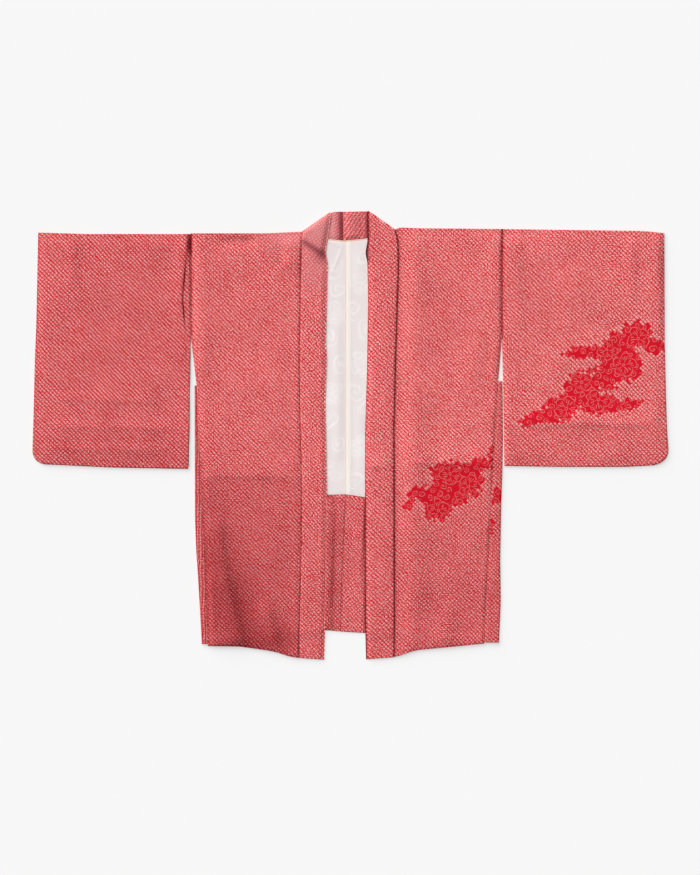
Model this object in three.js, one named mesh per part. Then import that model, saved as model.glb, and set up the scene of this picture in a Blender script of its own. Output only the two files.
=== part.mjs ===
// A haori, the short Japanese jacket, laid flat on its back with the fronts uppermost and the collar turned out.
// Millimetres. +Z is up, +Y runs from hem to neck, and -X is the wearer's right. The back lies on z = 0.
// Every piece is a wall of cloth: a sheet of quads with an outer and an inner face, closed round its edges.
import * as THREE from "three";

// ---- Driving dimensions ----------------------------------------------------------------------------------

const CLOTH = 1.3; // thickness of the outer cloth with its crimp
const LINING = 1.0; // thickness of the lining silk
const COLLAR = 2.9; // the collar band is folded cloth over a stiffening strip
const GAP = 0.3; // room between pieces, and between layers that lie on each other
const EDGE_STEP = 3; // how far inside a folded edge the cloth reaches its full height
const GUSSET_TOP_WIDTH = 18; // whole width of the side gusset at its top
const GUSSET_HEM_WIDTH = 60; // and at the hem
const CUFF_OPENING = 230; // length of the cuff opening, down from the top of the sleeve
const LINING_BAND = 60; // depth of lining built inside the sleeve
const FRONT_LOFT = 1.8; // how far a front stands above the layers under it, away from seams
const SLEEVE_LOFT = 1.5;
const SEAM_EASE = 16; // how far in from a seam the loft and the folds reach their full height
const NECK_Y = 390; // height at which the neck is measured across
const SHOULDER_Y = 400; // and the shoulders

// Heights of the layers above the floor, each the middle of a wall.
const BACK_Z = CLOTH / 2;
const LINING_Z = CLOTH + GAP + CLOTH / 2;
const FRONT_Z = 2 * (CLOTH + GAP) + CLOTH / 2;
const COLLAR_UNDER_Z = COLLAR / 2;
const COLLAR_OVER_Z = 2 * (CLOTH + GAP) + COLLAR / 2;
const SLEEVE_LINING_BASE = CLOTH + GAP;
const SLEEVE_TOP = 2 * (CLOTH + LINING) + 3 * GAP;

// Edges are short tables: along the edge, at y (or at x) the edge is at x (or at y).
const RIGHT = {
  name: "right",
  sign: -1,
  shoulder: [
    { x: -318.6, y: 403.4 },
    { x: -170, y: 403.4 },
    { x: -98, y: 406.6 },
  ],
  frontSide: [
    { y: 403, x: -318.6 },
    { y: 194, x: -318.6 },
    { y: 99, x: -307.4 },
    { y: -422, x: -285 },
  ],
  crease: [
    { y: 99, x: -311.8 },
    { y: -170, x: -311 },
    { y: -230, x: -308.6 },
    { y: -290, x: -304.6 },
    { y: -350, x: -301 },
    { y: -418, x: -297.4 },
  ],
  gussetTop: 99,
  gussetHem: -418,
  frontHem: [
    { x: -285, y: -422 },
    { x: -221, y: -423 },
    { x: -171, y: -430 },
    { x: -149, y: -434 },
    { x: -125, y: -442 },
    { x: -106, y: -445.6 },
  ],
  collarSeam: [
    { y: 407, x: -97.5 },
    { y: 350, x: -98.6 },
    { y: 190, x: -100.7 },
    { y: 70, x: -100.8 },
    { y: -50, x: -97.6 },
    { y: -130, x: -96.5 },
    { y: -250, x: -98.2 },
    { y: -380, x: -101.5 },
    { y: -446, x: -103 },
  ],
  backHem: [
    { x: -252, y: -414 },
    { x: -49, y: -390 },
    { x: -19.6, y: -393 },
  ],
  facingTop: [
    { x: -300, y: -122 },
    { x: -46, y: -120 },
    { x: -10, y: -118.6 },
  ],
  sleeve: {
    top: [
      { x: -625, y: 404.6 },
      { x: -533, y: 402 },
      { x: -318.9, y: 402 },
    ],
    bottom: [
      { x: -636, y: -58 },
      { x: -581, y: -60 },
      { x: -481, y: -65 },
      { x: -325, y: -68 },
    ],
    inner: [
      { y: 402, x: -318.9 },
      { y: 194, x: -318.9 },
      { y: 150, x: -322 },
      { y: 0, x: -323.4 },
      { y: -68, x: -325 },
    ],
    outer: [
      { y: 404.6, x: -625 },
      { y: 230, x: -628.6 },
      { y: 160, x: -631 },
      { y: 50, x: -633.6 },
      { y: -30, x: -636 },
    ],
    corner: 26,
    armholeEnd: 194,
    liningShows: 2.3, // how far the lining stands out of the open inner edge
  },
};

const LEFT = {
  name: "left",
  sign: 1,
  shoulder: [
    { x: 92, y: 410.2 },
    { x: 100, y: 415 },
    { x: 140, y: 413.5 },
    { x: 302.8, y: 412 },
  ],
  frontSide: [
    { y: 412, x: 302.8 },
    { y: 196, x: 302.8 },
    { y: 108, x: 295 },
    { y: -417, x: 267 },
  ],
  crease: [
    { y: 108, x: 303.6 },
    { y: 70, x: 304.4 },
    { y: -10, x: 305 },
    { y: -80, x: 303.6 },
    { y: -140, x: 301.4 },
    { y: -250, x: 299.4 },
    { y: -330, x: 300.6 },
    { y: -415, x: 297 },
  ],
  gussetTop: 108,
  gussetHem: -415,
  frontHem: [
    { x: 85, y: -444 },
    { x: 97, y: -442 },
    { x: 119, y: -434 },
    { x: 135, y: -430 },
    { x: 219, y: -422 },
    { x: 267, y: -417 },
  ],
  collarSeam: [
    { y: 412, x: 91.5 },
    { y: 390, x: 95.6 },
    { y: 346, x: 96 },
    { y: 270, x: 93.5 },
    { y: 130, x: 89.3 },
    { y: 10, x: 86.7 },
    { y: -90, x: 87.2 },
    { y: -380, x: 87.5 },
    { y: -445, x: 86.5 },
  ],
  backHem: [
    { x: -19.6, y: -393 },
    { x: 29, y: -396 },
    { x: 267, y: -412 },
  ],
  facingTop: [
    { x: -10, y: -118.6 },
    { x: 31, y: -125 },
    { x: 300, y: -135 },
  ],
  sleeve: {
    top: [
      { x: 303.2, y: 412 },
      { x: 595, y: 408 },
      { x: 628, y: 404 },
    ],
    bottom: [
      { x: 307.6, y: -62 },
      { x: 419, y: -64 },
      { x: 547, y: -64 },
      { x: 636, y: -59 },
    ],
    inner: [
      { y: 412, x: 303.2 },
      { y: 196, x: 303.2 },
      { y: 60, x: 306 },
      { y: -62, x: 307.8 },
    ],
    outer: [
      { y: 404, x: 628 },
      { y: 160, x: 629 },
      { y: 70, x: 631 },
      { y: 10, x: 633 },
      { y: -30, x: 636 },
    ],
    corner: 30,
    armholeEnd: 196,
    liningShows: 0.5,
  },
};

// The seam down the middle of the back.
const CENTRE_BACK = [
  { y: 388, x: -9.2 },
  { y: -120, x: -9.2 },
  { y: -296, x: -17 },
  { y: -396, x: -19.6 },
];

// Lines across the collar band, from the seam edge to the free edge, in order from the joint behind the neck.
// "under" lies on the floor with its inner face up, "fold" is where the band turns over, "over" is the run in front.
const COLLAR_LINES = {
  right: [
    { run: "under", seamX: -14.15, seamY: 388.7, freeX: -14.15, freeY: 446.4 },
    { run: "under", seamX: -46, seamY: 392.4, freeX: -24, freeY: 446.6 },
    { run: "under", seamX: -75, seamY: 399.2, freeX: -32, freeY: 446.4 },
    { run: "fold", seamX: -95.6, seamY: 404.6, freeX: -38.4, freeY: 444.2 },
    { run: "over", seamX: -97.2, seamY: 394, freeX: -43, freeY: 406 },
    { run: "over", seamX: -97.7, seamY: 384, freeX: -48, freeY: 380 },
    { run: "over", seamX: -97.7, seamY: 372, freeX: -50, freeY: 364 },
    { run: "over", seamX: -98.6, seamY: 350, freeX: -45, freeY: 344 },
    { run: "over", seamX: -99.3, seamY: 300, freeX: -46.4, freeY: 300 },
    { run: "over", seamX: -100.7, seamY: 190, freeX: -50, freeY: 190 },
    { run: "over", seamX: -100.7, seamY: 154, freeX: -47.4, freeY: 154 },
    { run: "over", seamX: -100.8, seamY: 70, freeX: -50.6, freeY: 70 },
    { run: "over", seamX: -97.6, seamY: -50, freeX: -48.4, freeY: -50 },
    { run: "over", seamX: -96.5, seamY: -130, freeX: -47, freeY: -130 },
    { run: "over", seamX: -98.2, seamY: -250, freeX: -48, freeY: -250 },
    { run: "over", seamX: -101.5, seamY: -380, freeX: -50.6, freeY: -382 },
    { run: "over", seamX: -103, seamY: -445.8, freeX: -52.4, freeY: -449.4 },
  ],
  left: [
    { run: "under", seamX: -13.85, seamY: 388.7, freeX: -13.85, freeY: 446.4 },
    { run: "under", seamX: 31, seamY: 392.8, freeX: 8, freeY: 446.6 },
    { run: "under", seamX: 60, seamY: 399.6, freeX: 24, freeY: 447.4 },
    { run: "fold", seamX: 88.6, seamY: 408, freeX: 33.6, freeY: 446.8 },
    { run: "over", seamX: 93, seamY: 396, freeX: 33.8, freeY: 412 },
    { run: "over", seamX: 94.4, seamY: 384, freeX: 34, freeY: 388 },
    { run: "over", seamX: 95.4, seamY: 366, freeX: 29.8, freeY: 364 },
    { run: "over", seamX: 95.6, seamY: 346, freeX: 33.6, freeY: 346 },
    { run: "over", seamX: 93.5, seamY: 270, freeX: 35, freeY: 270 },
    { run: "over", seamX: 89.3, seamY: 130, freeX: 33, freeY: 130 },
    { run: "over", seamX: 86.7, seamY: 10, freeX: 29, freeY: 10 },
    { run: "over", seamX: 87.2, seamY: -90, freeX: 28.8, freeY: -90 },
    { run: "over", seamX: 87.3, seamY: -250, freeX: 28.9, freeY: -250 },
    { run: "over", seamX: 87.5, seamY: -380, freeX: 29.4, freeY: -384 },
    { run: "over", seamX: 86.5, seamY: -444.6, freeX: 31, freeY: -448.6 },
  ],
};

// Largest folds: soft ridges (rise above 0) and troughs (below 0) along a straight run. width is to a third height.
const FOLDS = [
  { piece: "body_right", fromX: -251, fromY: -190, toX: -237, toY: -290, width: 22, rise: -2.0 },
  { piece: "body_right", fromX: -237, fromY: -290, toX: -185, toY: -426, width: 22, rise: -2.6 },
  { piece: "body_right", fromX: -211, fromY: -190, toX: -151, toY: -410, width: 24, rise: 2.2 },
  { piece: "body_right", fromX: -303, fromY: 390, toX: -303, toY: 210, width: 12, rise: 1.6 },
  { piece: "body_right", fromX: -271, fromY: 130, toX: -121, toY: -50, width: 20, rise: 1.1 },
  { piece: "body_right", fromX: -290, fromY: -84, toX: -110, toY: -84, width: 12, rise: 1.2 },
  { piece: "body_left", fromX: 106, fromY: 390, toX: 108, toY: -430, width: 15, rise: 2.0 },
  { piece: "body_left", fromX: 120, fromY: -64, toX: 285, toY: -64, width: 12, rise: 1.2 },
  { piece: "body_left", fromX: 250, fromY: 360, toX: 190, toY: 60, width: 22, rise: 1.0 },
  { piece: "sleeve_left", fromX: 321, fromY: 385, toX: 321, toY: 230, width: 12, rise: 2.0 },
  { piece: "sleeve_left", fromX: 330, fromY: 14, toX: 600, toY: 14, width: 16, rise: 1.2 },
  { piece: "sleeve_left", fromX: 563, fromY: 385, toX: 565, toY: 290, width: 12, rise: 1.4 },
  { piece: "sleeve_right", fromX: -551, fromY: 385, toX: -549, toY: 320, width: 14, rise: 1.2 },
  { piece: "sleeve_right", fromX: -480, fromY: 200, toX: -380, toY: 40, width: 26, rise: 1.2 },
];

const RED = { color: 0xd9696c, roughness: 0.85, metalness: 0 };
const WHITE_SILK = { color: 0xeae2df, roughness: 0.45, metalness: 0 };
const CREAM_SILK = { color: 0xead3bd, roughness: 0.5, metalness: 0 };

// ---- Small helpers ---------------------------------------------------------------------------------------

const mix = (a, b, t) => a + (b - a) * t;
const clamp = (v, low, high) => Math.min(high, Math.max(low, v));
const smooth = (t) => {
  const c = clamp(t, 0, 1);
  return c * c * (3 - 2 * c);
};

// Straight-line reading of a table at `at` in column `from`, giving column `to`. It runs level past both ends.
function read(table, from, to, at) {
  const rows = [...table].sort((p, q) => p[from] - q[from]);
  if (at <= rows[0][from]) return rows[0][to];
  for (let k = 1; k < rows.length; k++) {
    if (at <= rows[k][from]) {
      const t = (at - rows[k - 1][from]) / (rows[k][from] - rows[k - 1][from]);
      return mix(rows[k - 1][to], rows[k][to], t);
    }
  }
  return rows[rows.length - 1][to];
}
const xAt = (table, y) => read(table, "y", "x", y);
const yAt = (table, x) => read(table, "x", "y", x);

// Height that the folds of a piece add at (x, y): a bell across each fold, fading out at its two ends.
function foldHeight(piece, x, y) {
  let height = 0;
  for (const f of FOLDS) {
    if (f.piece !== piece) continue;
    const dx = f.toX - f.fromX;
    const dy = f.toY - f.fromY;
    const along = clamp(((x - f.fromX) * dx + (y - f.fromY) * dy) / (dx * dx + dy * dy), 0, 1);
    const away = Math.hypot(x - f.fromX - along * dx, y - f.fromY - along * dy) / f.width;
    height += f.rise * Math.exp(-away * away);
  }
  return height;
}

// Loft and folds together, held at nothing on the seams round the piece, `inside` being the way in from them.
const relief = (piece, loft, x, y, inside) =>
  Math.max(0, (loft + foldHeight(piece, x, y)) * smooth(inside / SEAM_EASE));

// ---- The wall of cloth -----------------------------------------------------------------------------------

// Collects nodes, each with a point on the outer and on the inner face, and quads between them. Every edge that
// has a quad on one side only is closed with a strip from the outer face to the inner one.
class Wall {
  constructor() {
    this.outer = [];
    this.inner = [];
    this.quads = [];
    this.ids = new Map();
  }

  node(key, make) {
    if (!this.ids.has(key)) {
      const { outer, inner } = make();
      this.ids.set(key, this.outer.length);
      this.outer.push(outer);
      this.inner.push(inner);
    }
    return this.ids.get(key);
  }

  quad(a, b, c, d) {
    this.quads.push([a, b, c, d]);
  }

  geometry() {
    const count = this.outer.length;
    const triangles = [];
    const oneWay = new Set();
    for (const [a, b, c, d] of this.quads) {
      triangles.push([a, b, c], [a, c, d]);
      triangles.push([a + count, c + count, b + count], [a + count, d + count, c + count]);
      for (const [p, q] of [[a, b], [b, c], [c, d], [d, a]]) oneWay.add(`${p},${q}`);
    }
    for (const edge of oneWay) {
      const [p, q] = edge.split(",").map(Number);
      if (oneWay.has(`${q},${p}`)) continue;
      triangles.push([q, p, p + count], [q, p + count, q + count]);
    }
    const points = [...this.outer, ...this.inner];
    if (signedVolume(points, triangles) < 0) triangles.forEach((t) => t.reverse());
    const geometry = new THREE.BufferGeometry();
    geometry.setAttribute("position", new THREE.Float32BufferAttribute(points.flat(), 3));
    geometry.setIndex(triangles.flat());
    geometry.computeVertexNormals();
    return geometry;
  }
}

function signedVolume(points, triangles) {
  let six = 0;
  for (const [a, b, c] of triangles) {
    const [p, q, r] = [points[a], points[b], points[c]];
    six += p[0] * (q[1] * r[2] - q[2] * r[1]);
    six -= p[1] * (q[0] * r[2] - q[2] * r[0]);
    six += p[2] * (q[0] * r[1] - q[1] * r[0]);
  }
  return six / 6;
}

// A sheet of cells (i, j), each kept or not. place(i, j) gives the middle point, its normal and its thickness.
function sheetWall(columns, rows, place, kept = () => true) {
  const wall = new Wall();
  const at = (i, j) =>
    wall.node(`${i},${j}`, () => {
      const { point, normal, thickness } = place(i, j);
      const half = thickness / 2;
      return {
        outer: point.map((v, k) => v + normal[k] * half),
        inner: point.map((v, k) => v - normal[k] * half),
      };
    });
  for (let j = 0; j < rows; j++) {
    for (let i = 0; i < columns; i++) {
      if (kept(i, j)) wall.quad(at(i, j), at(i + 1, j), at(i + 1, j + 1), at(i, j + 1));
    }
  }
  return wall.geometry();
}

// ---- Body ------------------------------------------------------------------------------------------------

// Edge of the back at the side: straight down the armhole, in along the open slit, then the seam to the gusset.
function backSide(side, y) {
  const armpit = side.sleeve.armholeEnd;
  const gussetSeam = (at, whole) => {
    const inFront = Math.abs(xAt(side.crease, at) - xAt(side.frontSide, at));
    return xAt(side.crease, at) - side.sign * (whole - inFront);
  };
  const corners = [
    { y: side.shoulder[0].y, x: xAt(side.frontSide, armpit) },
    { y: armpit, x: xAt(side.frontSide, armpit) },
    { y: side.gussetTop, x: gussetSeam(side.gussetTop, GUSSET_TOP_WIDTH) },
    { y: side.gussetHem, x: gussetSeam(side.gussetHem, GUSSET_HEM_WIDTH) },
  ];
  return xAt(corners, y);
}

// The neckline of the back follows the collar's seam edge behind the neck, just clear of it. These corners run from
// the collar seam in front, where the shoulder gives the height, to the centre seam.
function neckCorners(side) {
  const centreX = CENTRE_BACK[0].x + (side.sign * GAP) / 2;
  const behind = COLLAR_LINES[side.name].filter((line) => line.run === "under");
  const corners = behind.map((line) => ({ x: line.seamX, y: line.seamY - 2 * GAP }));
  const seam = { x: xAt(side.collarSeam, NECK_Y) + side.sign * GAP };
  const centre = { x: centreX, y: corners[0].y };
  // The joint of the collar isn't over the centre seam, so its corner counts only on the side that it falls on.
  const beforeCentre = corners.filter((corner) => side.sign * (corner.x - centreX) > GAP);
  return [seam, ...beforeCentre.reverse(), centre];
}

// X of column i past the collar seam, at height y.
function neckColumnX(side, i, y) {
  const corners = neckCorners(side);
  const centre = xAt(CENTRE_BACK, y) + (side.sign * GAP) / 2;
  const seam = xAt(side.collarSeam, y) + side.sign * GAP;
  const share = (corners[i].x - corners[0].x) / (corners[corners.length - 1].x - corners[0].x);
  return mix(seam, centre, share);
}

// Row j of a run through the levels in `stages`, each { to, rows }, beginning at `from`.
function level(from, stages, j) {
  let start = from;
  let left = j;
  for (const { to, rows } of stages) {
    if (left <= rows) return mix(start, to, left / rows);
    left -= rows;
    start = to;
  }
  return start;
}

const BODY_COLUMNS = 9; // side edge to collar seam
const FACING_ROWS = 2;
const BACK_ROWS = { gusset: 4, slit: 1, armhole: 2 };
const FRONT_ROWS = { armhole: 6, slit: 2, gusset: 14 };
const FOLD_STEPS = 4; // steps round a fold

// One length of cloth, from the top of the turned-up hem inside the back, round the hem fold, up the back, over the
// shoulder and down the front.
function body(side) {
  const piece = `body_${side.name}`;
  const hemRadius = (LINING_Z - BACK_Z) / 2;
  const shoulderRadius = (FRONT_Z - BACK_Z) / 2;
  const neck = neckCorners(side);
  const columns = BODY_COLUMNS + neck.length - 1;
  const count = (parts) => parts.gusset + parts.slit + parts.armhole;
  const starts = {
    hem: FACING_ROWS,
    back: FACING_ROWS + FOLD_STEPS,
    shoulder: FACING_ROWS + FOLD_STEPS + count(BACK_ROWS),
    front: FACING_ROWS + 2 * FOLD_STEPS + count(BACK_ROWS),
  };
  const rows = starts.front + count(FRONT_ROWS);
  const armpit = side.sleeve.armholeEnd;

  const columnX = (i, y, edge) => {
    const seam = xAt(side.collarSeam, y) + side.sign * GAP;
    if (i <= BODY_COLUMNS) return mix(edge(y), seam, i / BODY_COLUMNS);
    return neckColumnX(side, i - BODY_COLUMNS, y);
  };
  const backX = (i, y) => columnX(i, y, (at) => backSide(side, at));
  const frontX = (i, y) => columnX(i, y, (at) => xAt(side.frontSide, at));

  function place(i, j) {
    const hemY = yAt(side.backHem, backX(i, side.gussetHem));
    const hemCentre = hemY + hemRadius + CLOTH / 2;
    const shoulderCentre = yAt(side.shoulder, frontX(i, side.shoulder[0].y)) - shoulderRadius - CLOTH / 2;
    let normal = [0, 0, 1];
    let y;
    let z;
    let x;
    if (j <= starts.hem) {
      const top = yAt(side.facingTop, backX(i, side.facingTop[0].y));
      y = mix(top, hemCentre, j / FACING_ROWS);
      x = backX(i, y);
      z = LINING_Z;
    } else if (j < starts.back) {
      const turn = Math.PI * (0.5 + (j - starts.hem) / FOLD_STEPS);
      normal = [0, Math.cos(turn), Math.sin(turn)];
      y = hemCentre + hemRadius * Math.cos(turn);
      x = backX(i, hemCentre);
      z = (LINING_Z + BACK_Z) / 2 + hemRadius * Math.sin(turn);
    } else if (j <= starts.shoulder) {
      const top = i <= BODY_COLUMNS ? shoulderCentre : neck[i - BODY_COLUMNS].y;
      normal = [0, 0, -1];
      const up = [
        { to: side.gussetTop, rows: BACK_ROWS.gusset },
        { to: armpit, rows: BACK_ROWS.slit },
        { to: top, rows: BACK_ROWS.armhole },
      ];
      y = level(hemCentre, up, j - starts.back);
      x = backX(i, y);
      z = BACK_Z;
    } else if (j < starts.front) {
      const turn = Math.PI * (-0.5 + (j - starts.shoulder) / FOLD_STEPS);
      normal = [0, Math.cos(turn), Math.sin(turn)];
      y = shoulderCentre + shoulderRadius * Math.cos(turn);
      x = frontX(i, shoulderCentre);
      z = (BACK_Z + FRONT_Z) / 2 + shoulderRadius * Math.sin(turn);
    } else {
      const hem = yAt(side.frontHem, frontX(i, side.gussetHem));
      const down = [
        { to: armpit, rows: FRONT_ROWS.armhole },
        { to: side.gussetTop, rows: FRONT_ROWS.slit },
        { to: hem, rows: FRONT_ROWS.gusset },
      ];
      y = level(shoulderCentre, down, j - starts.front);
      x = frontX(i, y);
      const fromSide = Math.abs(x - xAt(side.frontSide, y));
      const fromCollar = Math.abs(x - xAt(side.collarSeam, y));
      const inside = Math.min(fromSide, fromCollar, shoulderCentre - y, y - hem);
      z = FRONT_Z + relief(piece, FRONT_LOFT, x, y, inside);
    }
    return { point: [x, y, z], normal, thickness: CLOTH };
  }
  // Past the collar seam there is cloth only in the facing and the back.
  return sheetWall(columns, rows, place, (i, j) => i < BODY_COLUMNS || j < starts.shoulder);
}

// ---- Back lining -----------------------------------------------------------------------------------------

const LINING_ROWS = { gusset: 3, slit: 1, armhole: 2 };
const LINING_COLUMNS = 3; // side edge to under the collar seam

// Lies on the back inside the coat, from the facing up to the shoulder and the neckline.
function backLining(side) {
  const neck = neckCorners(side);
  const columnX = (i, y) => {
    const edge = backSide(side, y) - side.sign * GAP;
    if (i > LINING_COLUMNS) return neckColumnX(side, i - LINING_COLUMNS, y);
    return mix(edge, xAt(side.collarSeam, y) + side.sign * GAP, i / LINING_COLUMNS);
  };
  const place = (i, j) => {
    const low = yAt(side.facingTop, columnX(i, side.facingTop[0].y)) + GAP;
    const shoulder = yAt(side.shoulder, columnX(Math.min(i, LINING_COLUMNS), SHOULDER_Y)) - 2 * FRONT_Z;
    const up = [
      { to: side.gussetTop, rows: LINING_ROWS.gusset },
      { to: side.sleeve.armholeEnd, rows: LINING_ROWS.slit },
      { to: i <= LINING_COLUMNS ? shoulder : neck[i - LINING_COLUMNS].y, rows: LINING_ROWS.armhole },
    ];
    const y = level(low, up, j);
    return { point: [columnX(i, y), y, LINING_Z], normal: [0, 0, 1], thickness: LINING };
  };
  const rows = LINING_ROWS.gusset + LINING_ROWS.slit + LINING_ROWS.armhole;
  return sheetWall(LINING_COLUMNS + neck.length - 1, rows, place);
}

// ---- Side gusset -----------------------------------------------------------------------------------------

const GUSSET_ROWS = 10;
const GUSSET_FLAT_STEPS = 2;

// A long wedge between front and back, creased along the side of the coat so that part lies on each.
function gusset(side) {
  const radius = (FRONT_Z - BACK_Z) / 2;
  const middleZ = (FRONT_Z + BACK_Z) / 2;
  const steps = 2 * GUSSET_FLAT_STEPS + FOLD_STEPS;
  const place = (i, j) => {
    const y = mix(side.gussetTop, side.gussetHem, j / GUSSET_ROWS);
    const centre = xAt(side.crease, y) - side.sign * (radius + CLOTH / 2);
    const afterFold = GUSSET_FLAT_STEPS + FOLD_STEPS;
    if (i <= GUSSET_FLAT_STEPS) {
      const seam = xAt(side.frontSide, y) + side.sign * GAP;
      const x = mix(seam, centre, i / GUSSET_FLAT_STEPS);
      return { point: [x, y, FRONT_Z], normal: [0, 0, 1], thickness: CLOTH };
    }
    if (i < afterFold) {
      const turn = Math.PI * (0.5 - (i - GUSSET_FLAT_STEPS) / FOLD_STEPS);
      const normal = [side.sign * Math.cos(turn), 0, Math.sin(turn)];
      const point = [centre + normal[0] * radius, y, middleZ + normal[2] * radius];
      return { point, normal, thickness: CLOTH };
    }
    const seam = backSide(side, y) + side.sign * GAP;
    const x = mix(centre, seam, (i - afterFold) / GUSSET_FLAT_STEPS);
    return { point: [x, y, BACK_Z], normal: [0, 0, -1], thickness: CLOTH };
  };
  return sheetWall(steps, GUSSET_ROWS, place);
}

// ---- Collar ----------------------------------------------------------------------------------------------

const COLLAR_STEPS = 4; // across the band
const COLLAR_CROWN = 0.8; // how far the middle of the band stands above its edges

// The band behind the neck lies inner face up. It turns over along a slanting line and runs down the front.
function collar(side) {
  const lines = COLLAR_LINES[side.name];
  const radius = (COLLAR_OVER_Z - COLLAR_UNDER_Z) / 2;
  const middleZ = (COLLAR_OVER_Z + COLLAR_UNDER_Z) / 2;
  const stations = lines.flatMap((line) => {
    if (line.run === "under") return [{ line, z: COLLAR_UNDER_Z, normal: [0, 0, -1], shift: [0, 0] }];
    if (line.run === "over") return [{ line, z: COLLAR_OVER_Z, normal: [0, 0, 1], shift: [0, 0] }];
    const length = Math.hypot(line.freeX - line.seamX, line.freeY - line.seamY);
    const out = [
      (side.sign * Math.abs(line.freeY - line.seamY)) / length,
      Math.abs(line.freeX - line.seamX) / length,
    ];
    return Array.from({ length: FOLD_STEPS + 1 }, (_, k) => {
      const turn = Math.PI * (k / FOLD_STEPS - 0.5);
      const flat = Math.cos(turn);
      return {
        line,
        z: middleZ + radius * Math.sin(turn),
        normal: [out[0] * flat, out[1] * flat, Math.sin(turn)],
        shift: [out[0] * flat * radius, out[1] * flat * radius],
      };
    });
  });
  const place = (i, j) => {
    const { line, z, normal, shift } = stations[j];
    const t = i / COLLAR_STEPS;
    const crown = line.run === "over" ? COLLAR_CROWN * Math.sin(Math.PI * t) : 0;
    const x = mix(line.seamX, line.freeX, t) + shift[0];
    const y = mix(line.seamY, line.freeY, t) + shift[1];
    return { point: [x, y, z + crown], normal, thickness: COLLAR };
  };
  return sheetWall(COLLAR_STEPS, stations.length - 1, place);
}

// ---- Sleeves ---------------------------------------------------------------------------------------------

// A flat tube of cloth: a front and a back sheet that share their nodes along the top fold, along the bottom seam
// and, below the cuff opening, along the outer edge. The inner end and the cuff are open.
function flatTube({ across, up, place, closedAt }) {
  const wall = new Wall();
  const at = (face, i, j) => {
    const shared = j === 0 || j === up || (i === across && closedAt(j));
    return wall.node(`${shared ? "edge" : face},${i},${j}`, () => place(shared ? "edge" : face, i, j));
  };
  for (let j = 0; j < up; j++) {
    for (let i = 0; i < across; i++) {
      wall.quad(at("front", i, j), at("front", i + 1, j), at("front", i + 1, j + 1), at("front", i, j + 1));
      wall.quad(at("back", i, j), at("back", i, j + 1), at("back", i + 1, j + 1), at("back", i + 1, j));
    }
  }
  return wall.geometry();
}

// Share of the way up a tube at row j of `rows`: one short step at each end, the rest even.
function shareUp(j, rows, height) {
  if (j === 0 || j === rows) return j / rows;
  const edge = EDGE_STEP / height;
  return mix(edge, 1 - edge, (j - 1) / (rows - 2));
}

const SLEEVE_ACROSS = 13;
const SLEEVE_UP = 13;
const CORNER_STOPS = [1, 0.6, 0.3, 0.11, 0]; // columns through the round corner, as shares of its radius

function sleeve(side) {
  const cut = side.sleeve;
  const piece = `sleeve_${side.name}`;
  const innerX = xAt(cut.inner, 0);
  const outerX = xAt(cut.outer, 0);
  const width = Math.abs(outerX - innerX);
  const plain = SLEEVE_ACROSS - (CORNER_STOPS.length - 1);
  const shareAcross = (i) => {
    if (i <= plain) return (i / plain) * (1 - cut.corner / width);
    return 1 - (CORNER_STOPS[i - plain] * cut.corner) / width;
  };
  const cuffY = yAt(cut.top, outerX) - CUFF_OPENING;

  const spot = (i, j) => {
    const share = shareAcross(i);
    const nominalX = mix(innerX, outerX, share);
    const short = Math.max(0, share * width - (width - cut.corner));
    const lift = cut.corner - Math.sqrt(cut.corner ** 2 - short ** 2);
    const low = yAt(cut.bottom, nominalX) + lift;
    const high = yAt(cut.top, nominalX);
    const y = mix(low, high, shareUp(j, SLEEVE_UP, high - low));
    return { x: mix(xAt(cut.inner, y), xAt(cut.outer, y), share), y, low, high };
  };
  const place = (face, i, j) => {
    const { x, y, low, high } = spot(i, j);
    if (face === "edge") {
      const towardsX = i === SLEEVE_ACROSS ? -side.sign * CLOTH : 0;
      const towardsY = j === 0 ? CLOTH : j === SLEEVE_UP ? -CLOTH : 0;
      return { outer: [x, y, SLEEVE_TOP / 2], inner: [x + towardsX, y + towardsY, SLEEVE_TOP / 2] };
    }
    if (face === "back") return { outer: [x, y, 0], inner: [x, y, CLOTH] };
    const inside = Math.min(Math.abs(x - xAt(cut.inner, y)), Math.abs(x - xAt(cut.outer, y)), y - low, high - y);
    const z = SLEEVE_TOP + relief(piece, SLEEVE_LOFT, x, y, inside);
    return { outer: [x, y, z], inner: [x, y, z - CLOTH] };
  };
  const closedAt = (j) => spot(SLEEVE_ACROSS, j).y < cuffY;
  return flatTube({ across: SLEEVE_ACROSS, up: SLEEVE_UP, place, closedAt });
}

const BAND_ACROSS = 2;
const BAND_UP = 12;
const OUT_START = 8; // the lining begins to stand out this far below the end of the armhole seam
const OUT_EASE = 30; // and is fully out after this much more

// The lining just inside the open inner edge of the sleeve, which it stands a little out of below the armhole.
function sleeveLining(side) {
  const cut = side.sleeve;
  const base = SLEEVE_LINING_BASE;
  const top = base + 2 * LINING + GAP;
  const inset = CLOTH + EDGE_STEP + GAP;
  const place = (face, i, j) => {
    const nearX = xAt(cut.inner, 0);
    const low = yAt(cut.bottom, nearX) + inset;
    const high = yAt(cut.top, nearX) - inset;
    const y = mix(low, high, shareUp(j, BAND_UP, high - low));
    const free = smooth((cut.armholeEnd - OUT_START - y) / OUT_EASE);
    const edge = xAt(cut.inner, y) - side.sign * cut.liningShows * free;
    const x = edge + (side.sign * LINING_BAND * i) / BAND_ACROSS;
    if (face === "edge") {
      const towardsY = j === 0 ? LINING : -LINING;
      return { outer: [x, y, (base + top) / 2], inner: [x, y + towardsY, (base + top) / 2] };
    }
    if (face === "back") return { outer: [x, y, base], inner: [x, y, base + LINING] };
    return { outer: [x, y, top], inner: [x, y, top - LINING] };
  };
  return flatTube({ across: BAND_ACROSS, up: BAND_UP, place, closedAt: () => false });
}

// ---- The garment -----------------------------------------------------------------------------------------

const haori = new THREE.Group();

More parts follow.
